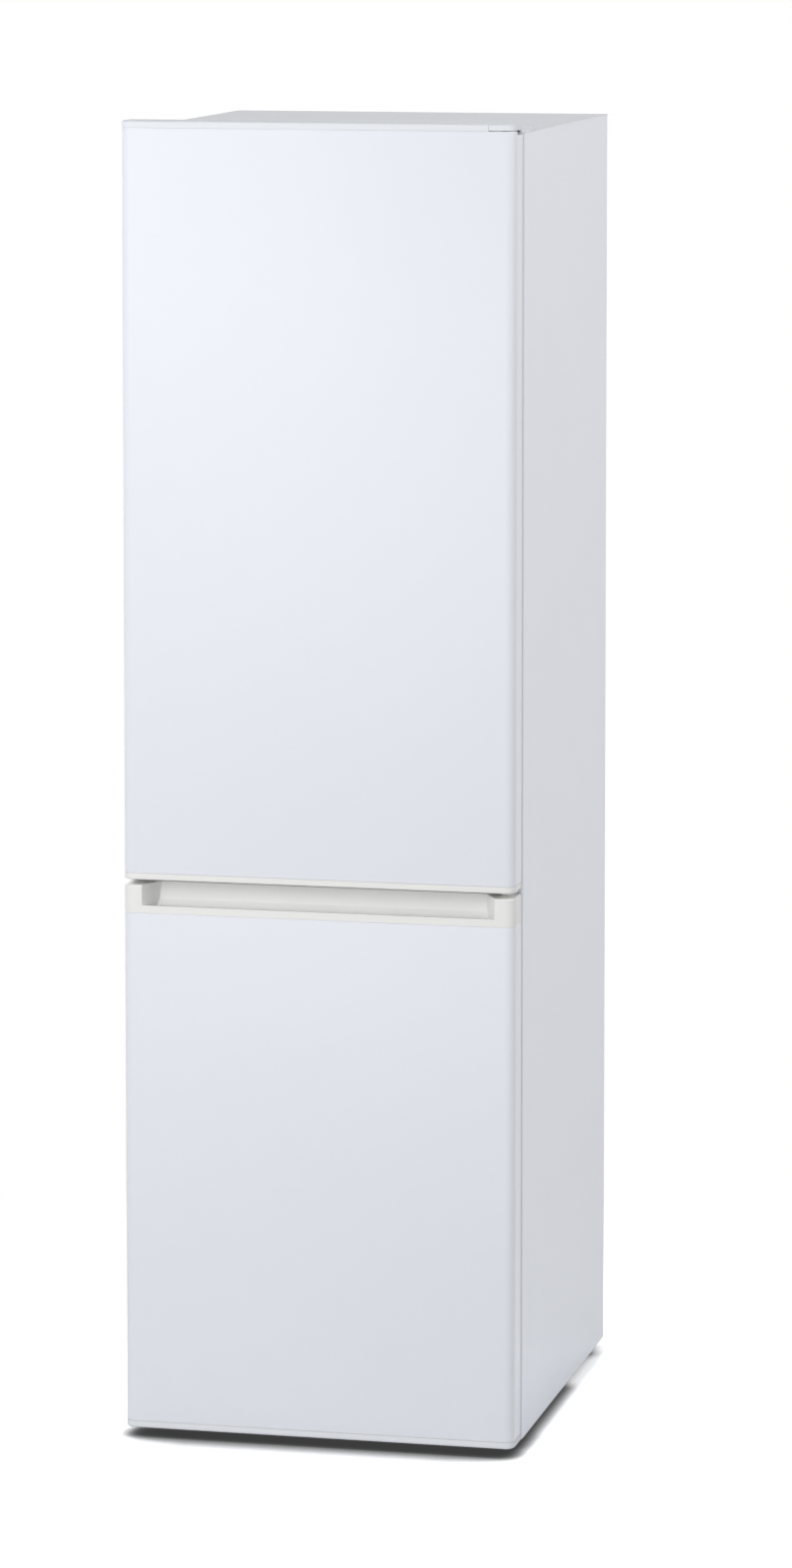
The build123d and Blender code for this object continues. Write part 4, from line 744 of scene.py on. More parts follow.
NODE_FINISHES: dict[Finish, tuple[str, ...]] = {
    SIDE_PAINTED_LIGHT_ENAMEL: ("side_panel_left", "side_panel_right", "base_plate", "divider_rail"),
    TOP_ENAMEL: ("top_panel",),
    WHITE_ENAMEL: ("upper_door_skin", "lower_door_skin"),
    TOP_CAP_PLASTIC: (
        "upper_door_top_cap", "upper_door_corner_cap", "lower_door_bottom_cap", "top_hinge_cover",
    ),
    CAP_PLASTIC: (
        "upper_door_bottom_cap", "lower_door_top_cap", "control_housing", "control_knob", "shelf_trims",
    ),
    LINER_PLASTIC: (
        "fridge_liner", "freezer_liner", "upper_door_liner", "lower_door_liner", "fridge_duct",
        "freezer_duct",
    ),
    GASKET_VINYL: ("upper_door_gasket", "lower_door_gasket"),
    NYLON: ("upper_door_bushes", "lower_door_bushes", "fan_rotor"),
    ZINC: (
        "nook_panel", "top_hinge", "middle_hinge", "bottom_hinge", "hinge_screws", "compressor_deck",
        "roller_axles",
    ),
    REAR_ZINC: ("rear_panel",),
    BLACK_ENAMEL: ("compressor", "condenser_coil"),
    DARK_PLASTIC: (
        "terminal_cover", "drip_tray", "fan_motor", "foot_left", "foot_right", "roller_left",
        "roller_right",
    ),
    MOUNT_RUBBER: ("compressor_mounts",),
    COPPER: ("refrigerant_pipes",),
    ALUMINIUM: ("evaporator",),
    SHELF_GLASS: ("glass_shelves",),
    CLEAR_PLASTIC: (
        "crisper_drawer", "freezer_drawer_top", "freezer_drawer_middle", "freezer_drawer_bottom",
        "door_bin_top", "door_bin_middle", "bottle_rack",
    ),
    LENS_PLASTIC: ("lamp_lens",),
    FOAM: ("cabinet_foam", "upper_door_foam", "lower_door_foam"),
}


def dress_nodes() -> None:
    """Gives every CAD node its procedural material."""
    for finish, nodes in NODE_FINISHES.items():
        for node in nodes:
            slots = NODES[node].data.materials
            slots.clear()
            slots.append(finish.material())
            log.info("dressed %s in %s", node, finish.name)
    bare = set(NODES) - {node for nodes in NODE_FINISHES.values() for node in nodes}
    if bare:
        raise ValueError(f"no finish for {sorted(bare)}")


def add_object(name: str, data: bpy.types.ID) -> bpy.types.Object:
    """Puts data into the scene as an object.

    Args:
        name: Name of the object.
        data: Its mesh, curve, camera or light.

    Returns:
        The object.
    """
    made = bpy.data.objects.new(name, data)
    bpy.context.scene.collection.objects.link(made)
    return made


def settle(name: str, mesh: bmesh.types.BMesh) -> bpy.types.Mesh:
    """Turns a mesh into a data block.

    Args:
        name: Name of the data block.
        mesh: The mesh, which is used up.

    Returns:
        The data block.
    """
    data = bpy.data.meshes.new(name)
    mesh.to_mesh(data)
    mesh.free()
    return data


def place(
    name: str, mesh: bmesh.types.BMesh, finish: Finish, body: Body,
    replaced: Sequence[str] = (), smooth_angle: float = 35.0,
) -> None:
    """Turns a mesh in millimetres into a finished piece that rides on a body.

    Args:
        name: Name of the piece.
        mesh: Its mesh, which is used up.
        finish: Its finish.
        body: The body that carries it.
        replaced: CAD nodes that it stands for.
        smooth_angle: Edges flatter than this are shaded smooth, in degrees.
    """
    bmesh.ops.remove_doubles(mesh, verts=mesh.verts, dist=WELD)
    bmesh.ops.recalc_face_normals(mesh, faces=mesh.faces)
    bmesh.ops.scale(mesh, vec=(MM, MM, MM), verts=mesh.verts)
    limit = math.radians(smooth_angle)
    for face in mesh.faces:
        face.smooth = True
    for edge in mesh.edges:
        edge.smooth = len(edge.link_faces) == 2 and edge.calc_face_angle(0.0) < limit
    data = settle(name, mesh)
    data.materials.append(finish.material())
    piece = add_object(name, data)
    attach(piece, body.value)
    if replaced:
        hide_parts(*replaced)
    log.info("made %s on %s", name, body.value)


def loft(rings: Sequence[Sequence[Point]]) -> bmesh.types.BMesh:
    """Skins closed rings of equal length and fills the end rings.

    Args:
        rings: The rings, in order.

    Returns:
        The mesh.
    """
    mesh = bmesh.new()
    rows = [[mesh.verts.new(point) for point in ring] for ring in rings]
    count = len(rows[0])
    for lower, upper in zip(rows, rows[1:]):
        for i in range(count):
            j = (i + 1) % count
            mesh.faces.new((lower[i], lower[j], upper[j], upper[i]))
    mesh.faces.new(list(reversed(rows[0])))
    mesh.faces.new(rows[-1])
    return mesh


def arc(centre: Pair, radius: float, start: float, end: float, steps: int) -> list[Pair]:
    """Points on a plane arc, angles in degrees, both ends included."""
    turns = [math.radians(start + (end - start) * i / steps) for i in range(steps + 1)]
    return [(centre[0] + radius * math.cos(t), centre[1] + radius * math.sin(t)) for t in turns]


def block(low: Point, high: Point) -> bmesh.types.BMesh:
    """Makes a box between two corners.

    Args:
        low: Its lowest corner.
        high: Its highest corner.

    Returns:
        The mesh.
    """
    mesh = bmesh.new()
    size = Vector(high) - Vector(low)
    middle = (Vector(high) + Vector(low)) / 2
    spot = Matrix.Translation(middle) @ Matrix.Diagonal((*size, 1.0))
    bmesh.ops.create_cube(mesh, size=1.0, matrix=spot)
    return mesh


def rough_object(name: str, mesh: bmesh.types.BMesh) -> bpy.types.Object:
    """Puts a mesh into the scene for a modifier to work on, using it up."""
    return add_object(name, settle(name, mesh))


def harvest(piece: bpy.types.Object, *helpers: bpy.types.Object) -> bmesh.types.BMesh:
    """Takes the mesh that an object's modifiers give and clears the object away.

    Args:
        piece: The object with its modifiers.
        helpers: Further objects to clear away.

    Returns:
        The evaluated mesh.
    """
    graph = bpy.context.evaluated_depsgraph_get()
    data = bpy.data.meshes.new_from_object(piece.evaluated_get(graph), depsgraph=graph)
    mesh = bmesh.new()
    mesh.from_mesh(data)
    bpy.data.meshes.remove(data)
    for used in (piece, *helpers):
        data = used.data
        bpy.data.objects.remove(used)
        (bpy.data.curves if isinstance(data, bpy.types.Curve) else bpy.data.meshes).remove(data)
    return mesh


def carve(mesh: bmesh.types.BMesh, low: Point, high: Point) -> bmesh.types.BMesh:
    """Cuts a box out of a mesh.

    Args:
        mesh: The mesh, which is used up.
        low: Lowest corner of the box.
        high: Highest corner of the box.

    Returns:
        The cut mesh.
    """
    piece, cutter = rough_object("carved", mesh), rough_object("cutter", block(low, high))
    cut = piece.modifiers.new("cut", "BOOLEAN")
    cut.object = cutter
    cut.operation = "DIFFERENCE"
    return harvest(piece, cutter)


class GrowTree:
    """Geometry node tree with named inputs that turns a base mesh into a repeated or swept piece."""

    TWIST_SEED = 7

    def __init__(self, name: str) -> None:
        """Starts an empty tree.

        Args:
            name: Name of the tree.
        """
        self.tree = bpy.data.node_groups.new(name, "GeometryNodeTree")
        for direction in ("INPUT", "OUTPUT"):
            self.tree.interface.new_socket("Geometry", in_out=direction, socket_type="NodeSocketGeometry")
        self.entry = self.tree.nodes.new("NodeGroupInput")
        self.exit = self.tree.nodes.new("NodeGroupOutput")
        self.base = self.entry.outputs["Geometry"]

    def number(self, name: str, value: float) -> bpy.types.NodeSocket:
        """Adds a named number input.

        Args:
            name: Its name.
            value: Its default value.

        Returns:
            Its socket.
        """
        item = self.tree.interface.new_socket(name, in_out="INPUT", socket_type="NodeSocketFloat")
        item.default_value = value
        return self.entry.outputs[name]

    def node(
        self, kind: str, settings: Optional[dict[str, object]] = None, **inputs: object
    ) -> bpy.types.Node:
        """Adds a node of a type, with its properties and its inputs by name."""
        return add_node(self.tree, kind, settings=settings, **inputs)

    def sized(self, socket: bpy.types.NodeSocket, share: float) -> bpy.types.NodeSocket:
        """Gives a share of a number."""
        return math_node(self.tree, "MULTIPLY", socket, share)

    def vector(self, **parts: object) -> bpy.types.NodeSocket:
        """Joins X, Y and Z into a vector."""
        return self.node("ShaderNodeCombineXYZ", **parts).outputs[0]

    def stamp(self, instance: bpy.types.NodeSocket, twist: float = 0.0) -> bpy.types.NodeSocket:
        """Sets an instance on every base point, its Z along the point's axis attribute.

        Args:
            instance: The geometry to repeat.
            twist: Largest random turn about that axis, in radians.

        Returns:
            The instances.
        """
        axis = self.node("GeometryNodeInputNamedAttribute", {"data_type": "FLOAT_VECTOR"}, Name="axis")
        turn = self.node(
            "FunctionNodeAlignRotationToVector", {"axis": "Z"}, Vector=axis.outputs["Attribute"]
        )
        spin = self.node("FunctionNodeRandomValue", {"data_type": "FLOAT"}, Seed=self.TWIST_SEED)
        spin.inputs[2].default_value, spin.inputs[3].default_value = 0.0, twist
        own = self.node("FunctionNodeEulerToRotation", Euler=self.vector(Z=spin.outputs[1]))
        both = self.node(
            "FunctionNodeRotateRotation", {"rotation_space": "LOCAL"},
            Rotation=turn.outputs["Rotation"], Rotate_By=own.outputs["Rotation"],
        )
        return self.node(
            "GeometryNodeInstanceOnPoints",
            Points=self.base, Instance=instance, Rotation=both.outputs["Rotation"],
        ).outputs["Instances"]

    def close(self, geometry: bpy.types.NodeSocket) -> None:
        """Ends the tree: instances made real, finish set from a named input.

        Args:
            geometry: The geometry that the tree has made.
        """
        self.tree.interface.new_socket("Finish", in_out="INPUT", socket_type="NodeSocketMaterial")
        real = self.node("GeometryNodeRealizeInstances", Geometry=geometry)
        coat = self.node(
            "GeometryNodeSetMaterial",
            Geometry=real.outputs["Geometry"], Material=self.entry.outputs["Finish"],
        )
        self.tree.links.new(coat.outputs["Geometry"], self.exit.inputs["Geometry"])

    def grow(self, base: bmesh.types.BMesh, finish: Finish, **values: float) -> bmesh.types.BMesh:
        """Runs the tree on a base mesh.

        Args:
            base: The base mesh, which is used up.
            finish: Finish of the result.
            values: Numbers by input name, with underscores for blanks.

        Returns:
            The grown mesh.
        """
        piece = rough_object("grown", base)
        wanted = {name.replace("_", " "): value for name, value in values.items()}
        wanted["Finish"] = finish.material()
        modifier = piece.modifiers.new("grow", "NODES")
        modifier.node_group = self.tree
        for item in self.tree.interface.items_tree:
            if item.in_out == "INPUT" and item.name in wanted:
                modifier[item.identifier] = wanted[item.name]
        return harvest(piece)


def spots(points: Sequence[tuple[Point, Point]]) -> bmesh.types.BMesh:
    """Makes a base mesh of single points, each with an axis attribute.

    Args:
        points: Place and axis of every point.

    Returns:
        The mesh.
    """
    mesh = bmesh.new()
    layer = mesh.verts.layers.float_vector.new("axis")
    for spot, axis in points:
        mesh.verts.new(spot)[layer] = axis
    return mesh


@dataclass
class ScrewTree(GrowTree):
    """Pan-head screws with a cross recess, one on every point.

    Attributes:
        name: Name of the tree.
        taper: Share of the head's radius at its top.
        bars: Length and width of the recess's two bars, as shares of the head's radius.
        bar_tall: Height of a bar as a share of the head's; half of it is sunk.
        head_sides: Sides of the head.
        shank_sides: Sides of the shank.
    """

    name: str = "screws"
    taper: float = 0.8
    bars: tuple[Pair, ...] = ((1.3, 0.3), (0.3, 1.32))
    bar_tall: float = 1.1
    head_sides: int = 28
    shank_sides: int = 16

    def __post_init__(self) -> None:
        """Builds the tree."""
        super().__init__(self.name)
        radius, tall = self.number("Head Radius", 4.6), self.number("Head Height", 2.4)
        shank_radius, shank = self.number("Shank Radius", 2.5), self.number("Shank Length", 4.0)
        recessed = self.node(
            "GeometryNodeMeshCone", {"fill_type": "NGON"}, Vertices=self.head_sides,
            Radius_Top=self.sized(radius, self.taper), Radius_Bottom=radius, Depth=tall,
        ).outputs["Mesh"]
        for length, width in self.bars:
            size = self.vector(
                X=self.sized(radius, length), Y=self.sized(radius, width), Z=self.sized(tall, self.bar_tall)
            )
            cube = self.node("GeometryNodeMeshCube", Size=size).outputs["Mesh"]
            bar = self.node("GeometryNodeTransform", Geometry=cube, Translation=self.vector(Z=tall))
            recessed = self.node(
                "GeometryNodeMeshBoolean", {"operation": "DIFFERENCE", "solver": "EXACT"},
                Mesh_1=recessed, Mesh_2=[bar.outputs["Geometry"]],
            ).outputs["Mesh"]
        stem = self.node(
            "GeometryNodeMeshCylinder", {"fill_type": "NGON"},
            Vertices=self.shank_sides, Radius=shank_radius, Depth=shank,
        ).outputs["Mesh"]
        drop = self.vector(Z=self.sized(shank, -0.5))
        sunk = self.node("GeometryNodeTransform", Geometry=stem, Translation=drop)
        whole = self.node("GeometryNodeJoinGeometry", Geometry=[recessed, sunk.outputs["Geometry"]])
        self.close(self.stamp(whole.outputs["Geometry"], twist=QUARTER_TURN))


@dataclass
class RodTree(GrowTree):
    """Round rods, one centred on every point along its axis.

    Attributes:
        name: Name of the tree.
        sides: Sides of a rod.
    """

    name: str = "rods"
    sides: int = 14

    def __post_init__(self) -> None:
        """Builds the tree."""
        super().__init__(self.name)
        rod = self.node(
            "GeometryNodeMeshCylinder", {"fill_type": "NGON"},
            Vertices=self.sides, Radius=self.number("Radius", 1.0), Depth=self.number("Length", 10.0),
        )
        self.close(self.stamp(rod.outputs["Mesh"]))


@dataclass
class FrameTree(GrowTree):
    """Profile swept round a rectangle with rounded corners, lying in the XY plane.

    Attributes:
        name: Name of the tree.
        corner_steps: Points of a rounded corner.
    """

    name: str = "swept frame"
    corner_steps: int = 4

    def __post_init__(self) -> None:
        """Builds the tree."""
        super().__init__(self.name)
        line = self.node(
            "GeometryNodeCurvePrimitiveQuadrilateral",
            Width=self.number("Width", 100.0), Height=self.number("Height", 100.0),
        )
        bent = self.node(
            "GeometryNodeFilletCurve", {"mode": "POLY"},
            Curve=line.outputs["Curve"], Radius=self.number("Corner", 3.0), Count=self.corner_steps,
        )
        profile = self.node("GeometryNodeMeshToCurve", Mesh=self.base)
        swept = self.node(
            "GeometryNodeCurveToMesh",
            Curve=bent.outputs["Curve"], Profile_Curve=profile.outputs["Curve"],
        )
        self.close(swept.outputs["Mesh"])


@dataclass
class DoorPanel:
    """Painted steel skin of a door: front, sides and short returns behind, with rolled ends.

    Attributes:
        name: Name of the piece.
        body: The door's body.
        node: The CAD node that it stands for.
        low: Lower end of the sheet, in millimetres as all sizes here.
        high: Upper end of the sheet.
        half: Half the door's width.
        front: Y of the front face.
        back: Y of the rear face.
        corner: Radius of the upright front edges.
        corner_steps: Facets of such an edge.
        sheet: Wall of the skin.
        lip: Radius of the rolled ends.
        lip_steps: Facets of a rolled end.
        opening: Half-width of the opening behind.
        notch: Corners of a box cut out for the hinge.
    """

    name: str
    body: Body
    node: str
    low: float
    high: float
    half: float = 240.0
    front: float = -284.0
    back: float = -243.0
    corner: float = 12.0
    corner_steps: int = 12
    sheet: float = 1.3
    lip: float = 1.2
    lip_steps: int = 4
    opening: float = 226.0
    notch: Optional[tuple[Point, Point]] = None

    def outline(self, inset: float) -> list[Pair]:
        """Gives the C-shaped section from the left return round to the right one.

        Args:
            inset: Distance inside the outer face.

        Returns:
            X and Y of its points.
        """
        side, front, back = self.half - inset, self.front + inset, self.back - inset
        radius = self.corner - inset
        left = arc((-side + radius, front + radius), radius, 180, 270, self.corner_steps)
        right = arc((side - radius, front + radius), radius, 270, 360, self.corner_steps)
        return [(-self.opening, back), (-side, back), *left, *right, (side, back), (self.opening, back)]

    def rings(self) -> list[list[Point]]:
        """Gives rings of the sheet from the lower rolled end to the upper one.

        Returns:
            The rings, each along the outer face and back along the inner one.
        """
        inner = list(reversed(self.outline(self.sheet)))
        bends = [math.radians(90 * i / self.lip_steps) for i in range(self.lip_steps + 1)]
        ends = [(self.lip * (1 - math.sin(b)), self.lip * (1 - math.cos(b))) for b in bends]
        heights = [(inset, self.low + rise) for inset, rise in ends]
        heights += [(inset, self.high - rise) for inset, rise in reversed(ends)]
        return [[(x, y, z) for x, y in self.outline(inset) + inner] for inset, z in heights]

    def build(self) -> None:
        """Makes the panel."""
        mesh = loft(self.rings())
        if self.notch:
            mesh = carve(mesh, *self.notch)
        place(self.name, mesh, WHITE_ENAMEL, self.body, [self.node])


@dataclass
class DoorGasket:
    """Bellows gasket round the back of a door, with a magnet bulge and two soft lips.

    Attributes:
        name: Name of the piece.
        body: The door's body.
        node: The CAD node that it stands for.
        low: Height of its lower run, in millimetres as all sizes here.
        high: Height of its upper run.
        half: Half-width between its upright runs.
        back: Y of the door's rear face.
        deep: Depth from the door to the cabinet.
        wide: Half-width of the section.
        corner: Radius of the frame's corners along the middle of the section.
        side: Right half of the section from the door to the cabinet, in shares of wide and deep.
        smooth_angle: Edges flatter than this are shaded smooth, in degrees.
    """

    name: str
    body: Body
    node: str
    low: float
    high: float
    half: float = 212.0
    back: float = -243.0
    deep: float = 8.7
    wide: float = 7.0
    corner: float = 8.0
    side: tuple[Pair, ...] = (
        (1.0, 0.0), (1.0, 0.16), (0.93, 0.23), (0.62, 0.30), (0.55, 0.36), (0.58, 0.42), (0.78, 0.48),
        (0.80, 0.54), (0.66, 0.60), (0.68, 0.66), (0.94, 0.72), (1.0, 0.80), (0.97, 0.92), (0.86, 1.0),
    )
    smooth_angle: float = 50.0

    def profile(self) -> bmesh.types.BMesh:
        """Makes the closed outline of the section: X across, Y from the door to the cabinet.

        Returns:
            The mesh of its edges.
        """
        right = [(x * self.wide, y * self.deep) for x, y in self.side]
        line = right + [(-x, y) for x, y in reversed(right)]
        mesh = bmesh.new()
        verts = [mesh.verts.new((x, y, 0.0)) for x, y in line]
        for first, second in zip(verts, verts[1:] + verts[:1]):
            mesh.edges.new((first, second))
        return mesh

    def build(self, tree: FrameTree) -> None:
        """Makes the gasket.

        Args:
            tree: The tree that sweeps it.
        """
        mesh = tree.grow(
            self.profile(), GASKET_VINYL,
            Width=2 * self.half, Height=self.high - self.low, Corner=self.corner,
        )
        # The sweep may lay the section's depth along +Z or along -Z.
        depths = [vert.co.z for vert in mesh.verts]
        flip = -1.0 if min(depths) < -0.5 * self.deep else 1.0
        middle = (self.low + self.high) / 2
        for vert in mesh.verts:
            x, y, z = vert.co
            vert.co = (x, self.back + flip * z, middle + y)
        place(
            self.name, mesh, GASKET_VINYL, self.body, [self.node],
            smooth_angle=self.smooth_angle,
        )


@dataclass
class Fasteners:
    """Screws of the hinges and of the fitted panels.

    Attributes:
        top: Height of the top bracket's plate, in millimetres as all sizes here.
        top_spots: X and Y of its screws.
        divider: Y of the middle bracket's face.
        divider_x: X of its screws.
        divider_z: Height of its screws.
        under: Height of the bottom bracket's underside.
        under_spots: X and Y of its screws.
        deck_y: Y of the compressor deck's rear flange.
        deck_x: X of its screws.
        deck_z: Height of its screws.
        duct_y: Y of the freezer duct panel.
        duct_x: X of its screws.
        duct_z: Heights of its screws.
        fridge_duct_y: Y of the fridge duct's face.
        fridge_duct_z: Heights of its screws.
        ceiling_box: Height of the control housing's underside.
        ceiling_spots: X and Y of its screws.
        hinge_shank: Length of a hinge screw's shank below its head.
        panel_head: Radius of a panel screw's head.
        panel_tall: Height of a panel screw's head.
        panel_shank: Radius of a panel screw's shank.
        panel_sunk: Length of a panel screw's shank below its head.
        smooth_angle: Edges flatter than this are shaded smooth, in degrees.
    """

    top: float = 1584.0
    top_spots: tuple[Pair, ...] = ((160, -178), (196, -178), (178, -212))
    divider: float = -237.0
    divider_x: tuple[float, ...] = (158, 175, 192)
    divider_z: float = 679.0
    under: float = 8.0
    under_spots: tuple[Pair, ...] = ((214, -212), (228, -196), (214, -176))
    deck_y: float = 278.0
    deck_x: tuple[float, ...] = (-160, -54, 54, 160)
    deck_z: float = 23.0
    duct_y: float = 132.0
    duct_x: Pair = (-182, 182)
    duct_z: tuple[float, ...] = (298, 470, 634)
    fridge_duct_y: float = 204.0
    fridge_duct_z: Pair = (936, 1438)
    ceiling_box: float = 1490.0
    ceiling_spots: tuple[Pair, ...] = ((98, 64), (-100, 84), (98, -32))
    hinge_shank: float = 3.0
    panel_head: float = 3.6
    panel_tall: float = 1.7
    panel_shank: float = 1.8
    panel_sunk: float = 1.2
    smooth_angle: float = 25.0

    def hinge_points(self) -> list[tuple[Point, Point]]:
        """Gives places and axes of the nine hinge screws.

        Returns:
            Place and axis of each.
        """
        points = [((x, y, self.top), (0, 0, 1)) for x, y in self.top_spots]
        points += [((x, self.divider, self.divider_z), (0, -1, 0)) for x in self.divider_x]
        return points + [((x, y, self.under), (0, 0, -1)) for x, y in self.under_spots]

    def panel_points(self) -> list[tuple[Point, Point]]:
        """Gives places and axes of the screws in ducts, control housing and deck.

        Returns:
            Place and axis of each.
        """
        points = [((x, self.duct_y, z), (0, -1, 0)) for x in self.duct_x for z in self.duct_z]
        points += [((0, self.fridge_duct_y, z), (0, -1, 0)) for z in self.fridge_duct_z]
        points += [((x, y, self.ceiling_box), (0, 0, -1)) for x, y in self.ceiling_spots]
        return points + [((x, self.deck_y, self.deck_z), (0, 1, 0)) for x in self.deck_x]

    def build(self, tree: ScrewTree) -> None:
        """Makes both sets.

        Args:
            tree: The tree that makes the screws.
        """
        hinge = tree.grow(spots(self.hinge_points()), ZINC, Shank_Length=self.hinge_shank)
        place(
            "hinge_screw_set", hinge, ZINC, Body.CABINET, ["hinge_screws"],
            smooth_angle=self.smooth_angle,
        )
        panel = tree.grow(
            spots(self.panel_points()), ZINC, Head_Radius=self.panel_head, Head_Height=self.panel_tall,
            Shank_Radius=self.panel_shank, Shank_Length=self.panel_sunk,
        )
        place(
            "panel_screws", panel, ZINC, Body.CABINET, smooth_angle=self.smooth_angle
        )


@dataclass
class ControlFace:
    """Print round the thermostat knob, its pointer and the flutes of the lamp lens.

    Attributes:
        knob: X and Z of the knob's axis, in millimetres as all sizes here.
        face: Y of the housing's front.
        grip: Y of the knob's grip.
        marks: Number of settings.
        sweep: Angle between the first and the last setting, in degrees.
        tick_ring: Radius of the ring of ticks.
        tick: Radius of a tick.
        tick_length: Length of a tick.
        digit_ring: Radius of the ring of digits.
        digit: Height of a digit.
        digit_deep: Half the thickness of a digit.
        pointer: Half the pointer's width.
        pointer_y: How far the pointer stands out of the grip and how far it is let in.
        pointer_z: How far above the axis the pointer starts and ends.
        lens: Height of the lens's underside.
        flute_y: Y of a flute's middle.
        flute_start: X of the first flute.
        flute_pitch: Distance between flutes.
        flutes: Number of flutes.
        flute: Radius of a flute.
        flute_length: Length of a flute.
    """

    knob: Pair = (62.0, 1509.0)
    face: float = -60.0
    grip: float = -77.0
    marks: int = 6
    sweep: float = 240.0
    tick_ring: float = 15.7
    tick: float = 0.3
    tick_length: float = 1.6
    digit_ring: float = 18.6
    digit: float = 3.6
    digit_deep: float = 0.06
    pointer: float = 0.6
    pointer_y: Pair = (0.12, 0.4)
    pointer_z: Pair = (4.0, 10.6)
    lens: float = 1486.0
    flute_y: float = 5.0
    flute_start: float = -78.0
    flute_pitch: float = 4.6
    flutes: int = 21
    flute: float = 1.5
    flute_length: float = 56.0

    def spoke(self, index: int, radius: float) -> tuple[Point, Point]:
        """Gives place and direction of a setting on a ring round the knob.

        Args:
            index: Number of the setting.
            radius: Radius of the ring.

        Returns:
            The place on the housing's front and the direction outwards.
        """
        turn = math.radians(90 + self.sweep / 2 - self.sweep * index / (self.marks - 1))
        x, z = math.cos(turn), math.sin(turn)
        return (self.knob[0] + radius * x, self.face, self.knob[1] + radius * z), (x, 0, z)

    def digits(self) -> bmesh.types.BMesh:
        """Makes the numbers of the settings as thin solids.

        Returns:
            The mesh of all of them.
        """
        mesh = bmesh.new()
        upright = Matrix.Rotation(QUARTER_TURN, 4, "X")
        for index in range(self.marks):
            text = bpy.data.curves.new("digit", "FONT")
            text.body = str(index)
            text.size, text.extrude = self.digit, self.digit_deep
            text.align_x, text.align_y = "CENTER", "CENTER"
            solid = harvest(add_object("digit", text))
            spot = Matrix.Translation(self.spoke(index, self.digit_ring)[0]) @ upright
            bmesh.ops.transform(solid, matrix=spot, verts=solid.verts)
            data = settle("digit", solid)
            mesh.from_mesh(data)
            bpy.data.meshes.remove(data)
        return mesh

    def build(self, tree: RodTree) -> None:
        """Makes print, pointer and flutes.

        Args:
            tree: The tree that makes ticks and flutes.
        """
        base = spots([self.spoke(index, self.tick_ring) for index in range(self.marks)])
        ticks = tree.grow(base, GREY_PRINT, Radius=self.tick, Length=self.tick_length)
        place("dial_ticks", ticks, GREY_PRINT, Body.CABINET)
        place("dial_digits", self.digits(), GREY_PRINT, Body.CABINET)
        (x, z), (out, let_in), (start, end) = self.knob, self.pointer_y, self.pointer_z
        pointer = block(
            (x - self.pointer, self.grip - out, z + start), (x + self.pointer, self.grip + let_in, z + end)
        )
        place("knob_pointer", pointer, GREY_PRINT, Body.KNOB)
        columns = [self.flute_start + self.flute_pitch * i for i in range(self.flutes)]
        base = spots([((column, self.flute_y, self.lens), (0, 1, 0)) for column in columns])
        flutes = tree.grow(base, LENS_PLASTIC, Radius=self.flute, Length=self.flute_length)
        place("lens_flutes", flutes, LENS_PLASTIC, Body.CABINET)


@dataclass
class DrawerFlutes:
    """Level flutes on the front of a drawer.

    Attributes:
        node: The drawer's CAD node.
        body: The drawer's body.
        length: Length of a flute, in millimetres as all sizes here.
        radius: Radius of a flute.
        sunk: Distance of a flute's axis behind the drawer's foremost plane.
        rows: Heights above the drawer's floor.
    """

    node: str
    body: Body
    length: float = 280.0
    radius: float = 1.6
    sunk: float = 0.6
    rows: tuple[float, ...] = (16.0, 24.0, 32.0)

    def build(self, tree: RodTree) -> None:
        """Makes the flutes.

        Args:
            tree: The tree that makes them.
        """
        low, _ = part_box(self.node)
        front, floor = low[1] / MM, low[2] / MM
        base = spots([((0.0, front + self.sunk, floor + row), (1, 0, 0)) for row in self.rows])
        mesh = tree.grow(base, CLEAR_PLASTIC, Radius=self.radius, Length=self.length)
        place(f"{self.node}_flutes", mesh, CLEAR_PLASTIC, self.body)


@dataclass(frozen=True)
class Lamp:
    """Soft square lamp.

    Attributes:
        name: Its name.
        spot: Its place in metres.
        aim: The point that it faces.
        size: Its edge length in metres.
        power: Its power in watts.
        mirrored: Whether glossy surfaces show it.
    """

    name: str
    spot: Point
    aim: Point
    size: float
    power: float
    mirrored: bool = True

    def hang(self) -> None:
        """Puts the lamp into the scene."""
        data = bpy.data.lights.new(self.name, "AREA")
        data.size = self.size
        data.energy = self.power
        lamp = add_object(self.name, data)
        lamp.location = self.spot
        lamp.visible_glossy = self.mirrored
        lamp.rotation_euler = (Vector(self.aim) - Vector(self.spot)).to_track_quat("-Z", "Y").to_euler()


LAMPS = (
    Lamp("key lamp", (-1.1, -2.3, 2.0), (0.0, -0.2, 1.5), size=1.4, power=25.0, mirrored=False),
    Lamp("front lamp", (-0.7, -4.3, 0.8), (0.0, 0.0, 0.6), size=1.8, power=46.0, mirrored=False),
    Lamp("side lamp", (3.0, -0.4, 2.9), (0.2, 0.0, 1.3), size=1.8, power=39.0),
    Lamp("rear lamp", (-1.2, 3.6, 2.4), (0.0, 0.0, 0.9), size=2.4, power=40.0),
)


